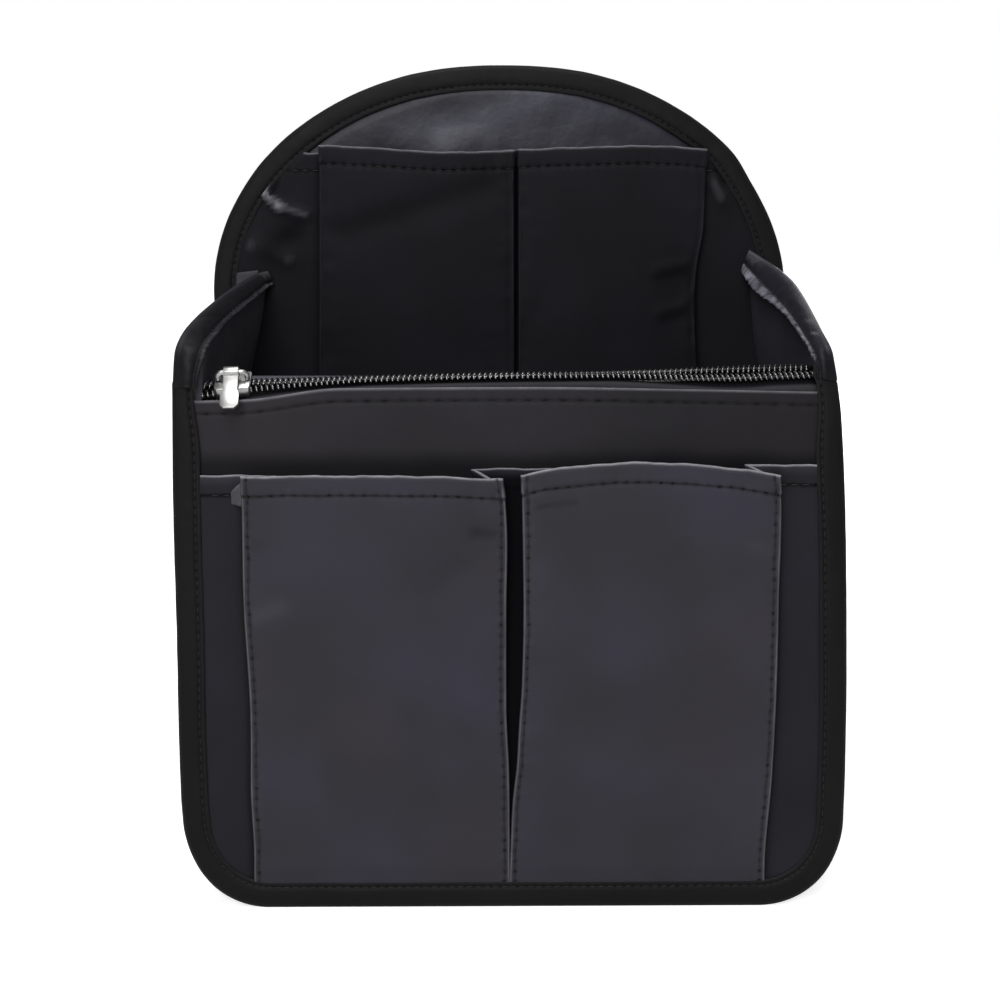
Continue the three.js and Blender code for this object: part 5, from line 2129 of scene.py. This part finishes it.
class Zip:
    """Tapes, coil rows, slider, crown and pull."""

    TOOTH_PITCH = 1.68
    LOOP = (0.55, 1.95, 0.92)
    LOOP_RISE = 1.62
    ROW_MIDDLE = 1.9

    def __init__(self, bench: Bench) -> None:
        self.bench = bench
        self.line = ZipLine()

    def tape_rule(self, side: int, x: float) -> list[tuple[float, float]]:
        """The line across a tape as (inwards, height) on the front wall, from the chain to its sewn edge."""
        tilt = self.line.tilt(x)
        out = Vector((math.cos(tilt), math.sin(tilt))) * side
        centre = Vector((self.line.set_back, self.line.height))
        reach = min(6.0, (self.line.set_back - 1.05) / math.cos(tilt)) if side < 0 else 3.6
        turn = centre + out * reach
        foot = Vector((1.05, 155.0) if side < 0 else (11.2, 160.0))
        down = (foot - turn).normalized()
        points = [centre + out * lerp(0.45, reach - 0.9, i / 9) for i in range(10)]
        for i in range(1, 6):
            share = i / 6
            a, b = turn - out * 0.9, turn + down * 0.9
            points.append(a.lerp(turn, share).lerp(turn.lerp(b, share), share))
        points += [turn + down * lerp(0.9, 9.0, i / 7) for i in range(8)]
        return [(p.x, p.y) for p in points]

    def build_tape(self, side: int, node: str) -> None:
        """Makes one woven tape."""
        xs = steps(-self.line.half, self.line.half, 1.6)
        rules = [self.tape_rule(side, x) for x in xs]
        widths = run_lengths(rules[len(rules) // 2])
        cloth = Cloth(f"{node}_weave", xs, widths)

        def spot(i: int, j: int) -> Spot:
            """The tape with a slight wave towards its sewn edge."""
            inwards, height = rules[i][j]
            wave = 0.12 * ripple(xs[i] / 9.0, widths[j] / 4.0, 51.0 + side) * smoothstep(3.5, 6.0, widths[j])
            shade = -0.85 * (1.0 - smoothstep(3.0, 4.6, widths[j]))
            return Spot(self.line.on_wall(xs[i], inwards, height + wave), shade)

        cloth.shape(spot)
        obj = self.bench.piece(
            cloth.name, cloth.bm, WOVEN_ZIP_TAPE, Slot.ZIP_TAPE, replaces=[node], thickness=TAPE_THICKNESS
        )
        wall = "front_shell" if side < 0 else "zip_pocket_back"
        self.bench.sheet(obj, widths[-1], 2 * self.line.half, Hold.FOLDED, [wall])

    def build_coil(self, side: int, node: str) -> None:
        """Makes one row of slanted coil loops on its tape."""
        bm = bmesh.new()
        count = int(2 * self.line.half / self.TOOTH_PITCH) - 1
        first = -count * self.TOOTH_PITCH / 2 + (1 - side) * self.TOOTH_PITCH / 4
        for i in range(count):
            x = first + (i + 0.5) * self.TOOTH_PITCH
            if abs(x) > self.line.half - 0.7:
                continue
            made = bmesh.ops.create_uvsphere(bm, u_segments=8, v_segments=7, radius=1.0)["verts"]
            bmesh.ops.scale(bm, vec=self.LOOP, verts=made)
            for vert in made:
                share = vert.co.y / self.LOOP[1]
                along = x + vert.co.x + 0.55 * share * side
                rise = self.LOOP_RISE + vert.co.z - 0.34 * share * share
                vert.co = self.line.at(along, side * self.ROW_MIDDLE + vert.co.y, rise)
        self.add_cord(bm, side)
        self.bench.piece(f"{node}_loops", bm, COIL_PLASTIC, Slot.ZIP_COIL, replaces=[node])

    def add_cord(self, bm: bmesh.types.BMesh, side: int) -> None:
        """Adds the filler cord that runs through a row of loops."""
        cord = bmesh.ops.create_cone(
            bm, cap_ends=True, segments=10, radius1=0.62, radius2=0.62, depth=2 * self.line.half,
            matrix=Matrix.Rotation(math.pi / 2, 4, "Y"),
        )["verts"]
        for vert in cord:
            vert.co = self.line.at(vert.co.x, side * 2.2 + vert.co.y, 1.3 + vert.co.z * 0.9)

    def build_metal(self, node: str, body: Body, width: float) -> None:
        """Makes a bevelled copy of a solid metal part."""
        bm = bmesh.new()
        bm.from_mesh(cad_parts[node].data)
        bmesh.ops.remove_doubles(bm, verts=bm.verts, dist=1e-6)
        bmesh.ops.dissolve_limit(
            bm, angle_limit=math.radians(2.0), verts=bm.verts, edges=bm.edges, delimit={"NORMAL"}
        )
        bmesh.ops.scale(bm, vec=(1 / MM, 1 / MM, 1 / MM), verts=bm.verts)
        sharp = [e for e in bm.edges if e.is_manifold and e.calc_face_angle(0.0) > math.radians(35)]
        bmesh.ops.bevel(
            bm, geom=sharp, offset=width, offset_type="OFFSET", affect="EDGES", segments=2, profile=0.5,
            material=-1, clamp_overlap=True,
        )
        bmesh.ops.recalc_face_normals(bm, faces=bm.faces)
        obj = self.bench.piece(
            f"{node}_plated", bm, NICKEL, Slot.NICKEL, body, [node], is_soft=False
        )
        obj.data.set_sharp_from_angle(angle=math.radians(40))

    def build(self) -> None:
        """Makes the zip."""
        self.build_tape(-1, "zip_tape_front")
        self.build_tape(1, "zip_tape_back")
        self.build_coil(-1, "zip_coil_front")
        self.build_coil(1, "zip_coil_back")
        self.build_metal("zip_slider_body", Body.SLIDER, 0.22)
        self.build_metal("zip_slider_crown", Body.SLIDER, 0.12)
        self.build_metal("zip_pull", Body.PULL, 0.18)


class PocketRear:
    """The rear cloth of the zipped pocket and the main room's front lining."""

    FOOT = (0.7, 9.1)
    TALL = 160.8
    WIDE = 191.8
    MARGIN = 9.2
    TILT = math.radians(4.14)

    def __init__(self, bench: Bench) -> None:
        self.bench = bench

    def sheet(self, node: str, offset: float, seed: float) -> None:
        """Makes one of its cloths."""
        shares, levels = steps(-1.0, 1.0, 0.025), steps(0.0, 1.0, 0.02)
        cloth = Cloth(f"{node}_cloth", [s * 96.0 for s in shares], [v * self.TALL for v in levels])

        def spot(i: int, j: int) -> Spot:
            """A point of the tilted cloth."""
            along = levels[j] * self.TALL
            x = shares[i] * (SIZES.front_half(along + self.FOOT[1]) - self.MARGIN)
            soft = 0.35 * ripple(x / 30.0, along / 30.0, seed) * smoothstep(0, 12, along)
            sine, cosine = math.sin(self.TILT), math.cos(self.TILT)
            depth = offset + max(-0.25, soft)
            inwards = self.FOOT[0] + along * sine + depth * cosine
            return Spot(SIZES.on_front(x, inwards, self.FOOT[1] + along * cosine - depth * sine))

        cloth.shape(spot)
        obj = self.bench.piece(
            cloth.name, cloth.bm, LINING_CLOTH, Slot.LINING, replaces=[node], thickness=CLOTH_THICKNESS
        )
        self.bench.sheet(obj, self.WIDE, self.TALL, Hold.STRETCHED, ["front_stiffener"], 0.97)

    def build(self) -> None:
        """Makes the cloths."""
        self.sheet("zip_pocket_back", 0.2, 61.0)
        self.sheet("front_lining", 2.0, 63.0)


@dataclass
class Boards:
    """The stiff boards inside the walls, which stay as the solid parts they are."""

    wardrobe: Wardrobe
    nodes: tuple[str, ...] = ("back_stiffener", "front_stiffener")

    def dress(self) -> None:
        """Gives the boards their finish."""
        for node in self.nodes:
            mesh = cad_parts[node].data
            mesh.materials.clear()
            mesh.materials.append(self.wardrobe.material(BOARD_PLASTIC))


# Studio


@dataclass
class Studio:
    """Floor, light and camera.

    Attributes:
        azimuth: camera's turn round the bag in degrees.
        elevation: camera's height above the horizon in degrees.
        distance: from the camera to the aim in mm.
        aim: the point in the middle of the picture, in mm.
        focal: focal length in pixels of a picture 1000 pixels wide.
    """

    azimuth: float = -0.5
    elevation: float = 11.096
    distance: float = 486.3
    aim: tuple[float, float, float] = (-3.27, 0.0, 123.09)
    focal: float = 1435.9

    def build_camera(self) -> None:
        """Makes the camera."""
        turn, rise = math.radians(self.azimuth), math.radians(self.elevation)
        back = Vector((math.sin(turn) * math.cos(rise), -math.cos(turn) * math.cos(rise), math.sin(rise)))
        data = bpy.data.cameras.new("photo_camera")
        data.sensor_width = 36.0
        data.lens = 36.0 * self.focal / 1000.0
        data.clip_start, data.clip_end = 0.01, 20.0
        camera = bpy.data.objects.new("photo_camera", data)
        camera.location = (Vector(self.aim) + back * self.distance) * MM
        camera.rotation_mode = "QUATERNION"
        camera.rotation_quaternion = (-back).to_track_quat("-Z", "Y")
        bpy.context.scene.collection.objects.link(camera)
        bpy.context.scene.camera = camera

    def floor_material(self) -> bpy.types.Material:
        """A pale floor that the camera sees a little brighter than it lights the bag."""
        graph = Graph("studio_floor")
        place = graph.coordinates("Object")
        tone = graph.mix(graph.cloud(place, 0.3), (0.86, 0.86, 0.86, 1), (0.9, 0.9, 0.9, 1))
        x, y, _ = graph.axes(place)
        far = ((x * x + y * y) ** 0.5 - 0.25) / 0.7
        glow = graph.mix(far.clamp(), (0.62, 0.62, 0.62, 1), (1.0, 1.0, 1.0, 1))
        plain = graph.node("ShaderNodeBsdfPrincipled", sockets={"Base Color": tone, "Roughness": 0.9})
        seen = graph.node(
            "ShaderNodeBsdfPrincipled",
            sockets={
                "Base Color": tone, "Roughness": 0.9, "Specular IOR Level": 0.0,
                "Emission Color": glow, "Emission Strength": 1.0,
            },
        )
        ray = graph.out(graph.node("ShaderNodeLightPath"), "Is Camera Ray")
        return graph.finish("ShaderNodeMixShader", {0: ray, 1: graph.out(plain), 2: graph.out(seen)})

    def build_floor(self) -> None:
        """Makes the floor."""
        bm = bmesh.new()
        bmesh.ops.create_grid(bm, x_segments=8, y_segments=8, size=6.0)
        mesh = bpy.data.meshes.new("floor")
        bm.to_mesh(mesh)
        bm.free()
        floor = bpy.data.objects.new("floor", mesh)
        mesh.materials.append(self.floor_material())
        bpy.context.scene.collection.objects.link(floor)

    def build_world(self) -> None:
        """Makes an even white surround."""
        world = bpy.data.worlds.new("white_surround")
        bpy.context.scene.world = world
        world.use_nodes = True
        nodes = world.node_tree.nodes
        nodes.clear()
        links = world.node_tree.links
        lit, seen = (nodes.new("ShaderNodeBackground") for _ in range(2))
        for light, strength in ((lit, 0.27), (seen, 1.0)):
            light.inputs["Color"].default_value = (1, 1, 1, 1)
            light.inputs["Strength"].default_value = strength
        mixer = nodes.new("ShaderNodeMixShader")
        path = nodes.new("ShaderNodeLightPath")
        out = nodes.new("ShaderNodeOutputWorld")
        links.new(path.outputs["Is Camera Ray"], mixer.inputs[0])
        links.new(lit.outputs[0], mixer.inputs[1])
        links.new(seen.outputs[0], mixer.inputs[2])
        links.new(mixer.outputs[0], out.inputs["Surface"])

    def build_lamp(self, name: str, spot: Vector, size: float, power: float) -> None:
        """Makes a soft lamp that faces the bag."""
        data = bpy.data.lights.new(name, "AREA")
        data.shape = "DISK"
        data.size = size
        data.energy = power
        lamp = bpy.data.objects.new(name, data)
        lamp.location = spot
        lamp.rotation_mode = "QUATERNION"
        lamp.rotation_quaternion = (Vector((0.0, 0.0, 0.13)) - spot).to_track_quat("-Z", "Y")
        bpy.context.scene.collection.objects.link(lamp)

    def build(self) -> None:
        """Makes the studio."""
        bpy.context.scene.view_settings.view_transform = "Standard"
        self.build_camera()
        self.build_floor()
        self.build_world()
        self.build_lamp("front_softbox", Vector((-0.25, -1.2, 0.75)), 0.8, 10.5)
        self.build_lamp("top_softbox", Vector((-0.1, -0.25, 1.2)), 0.7, 7.0)
        self.build_lamp("rear_softbox", Vector((0.3, 1.3, 0.6)), 0.8, 6.0)


def main() -> None:
    """Builds the bag and its studio."""
    logging.basicConfig(level=logging.INFO, format="%(name)s: %(message)s")
    noise.seed_set(7)
    wardrobe = Wardrobe()
    bench = Bench(wardrobe)
    BackWall(bench).build()
    Gusset(bench).build()
    PocketRear(bench).build()
    FrontWall(bench).build()
    Zip(bench).build()
    Boards(wardrobe).dress()
    Studio().build()


if __name__ == "__main__":
    main()
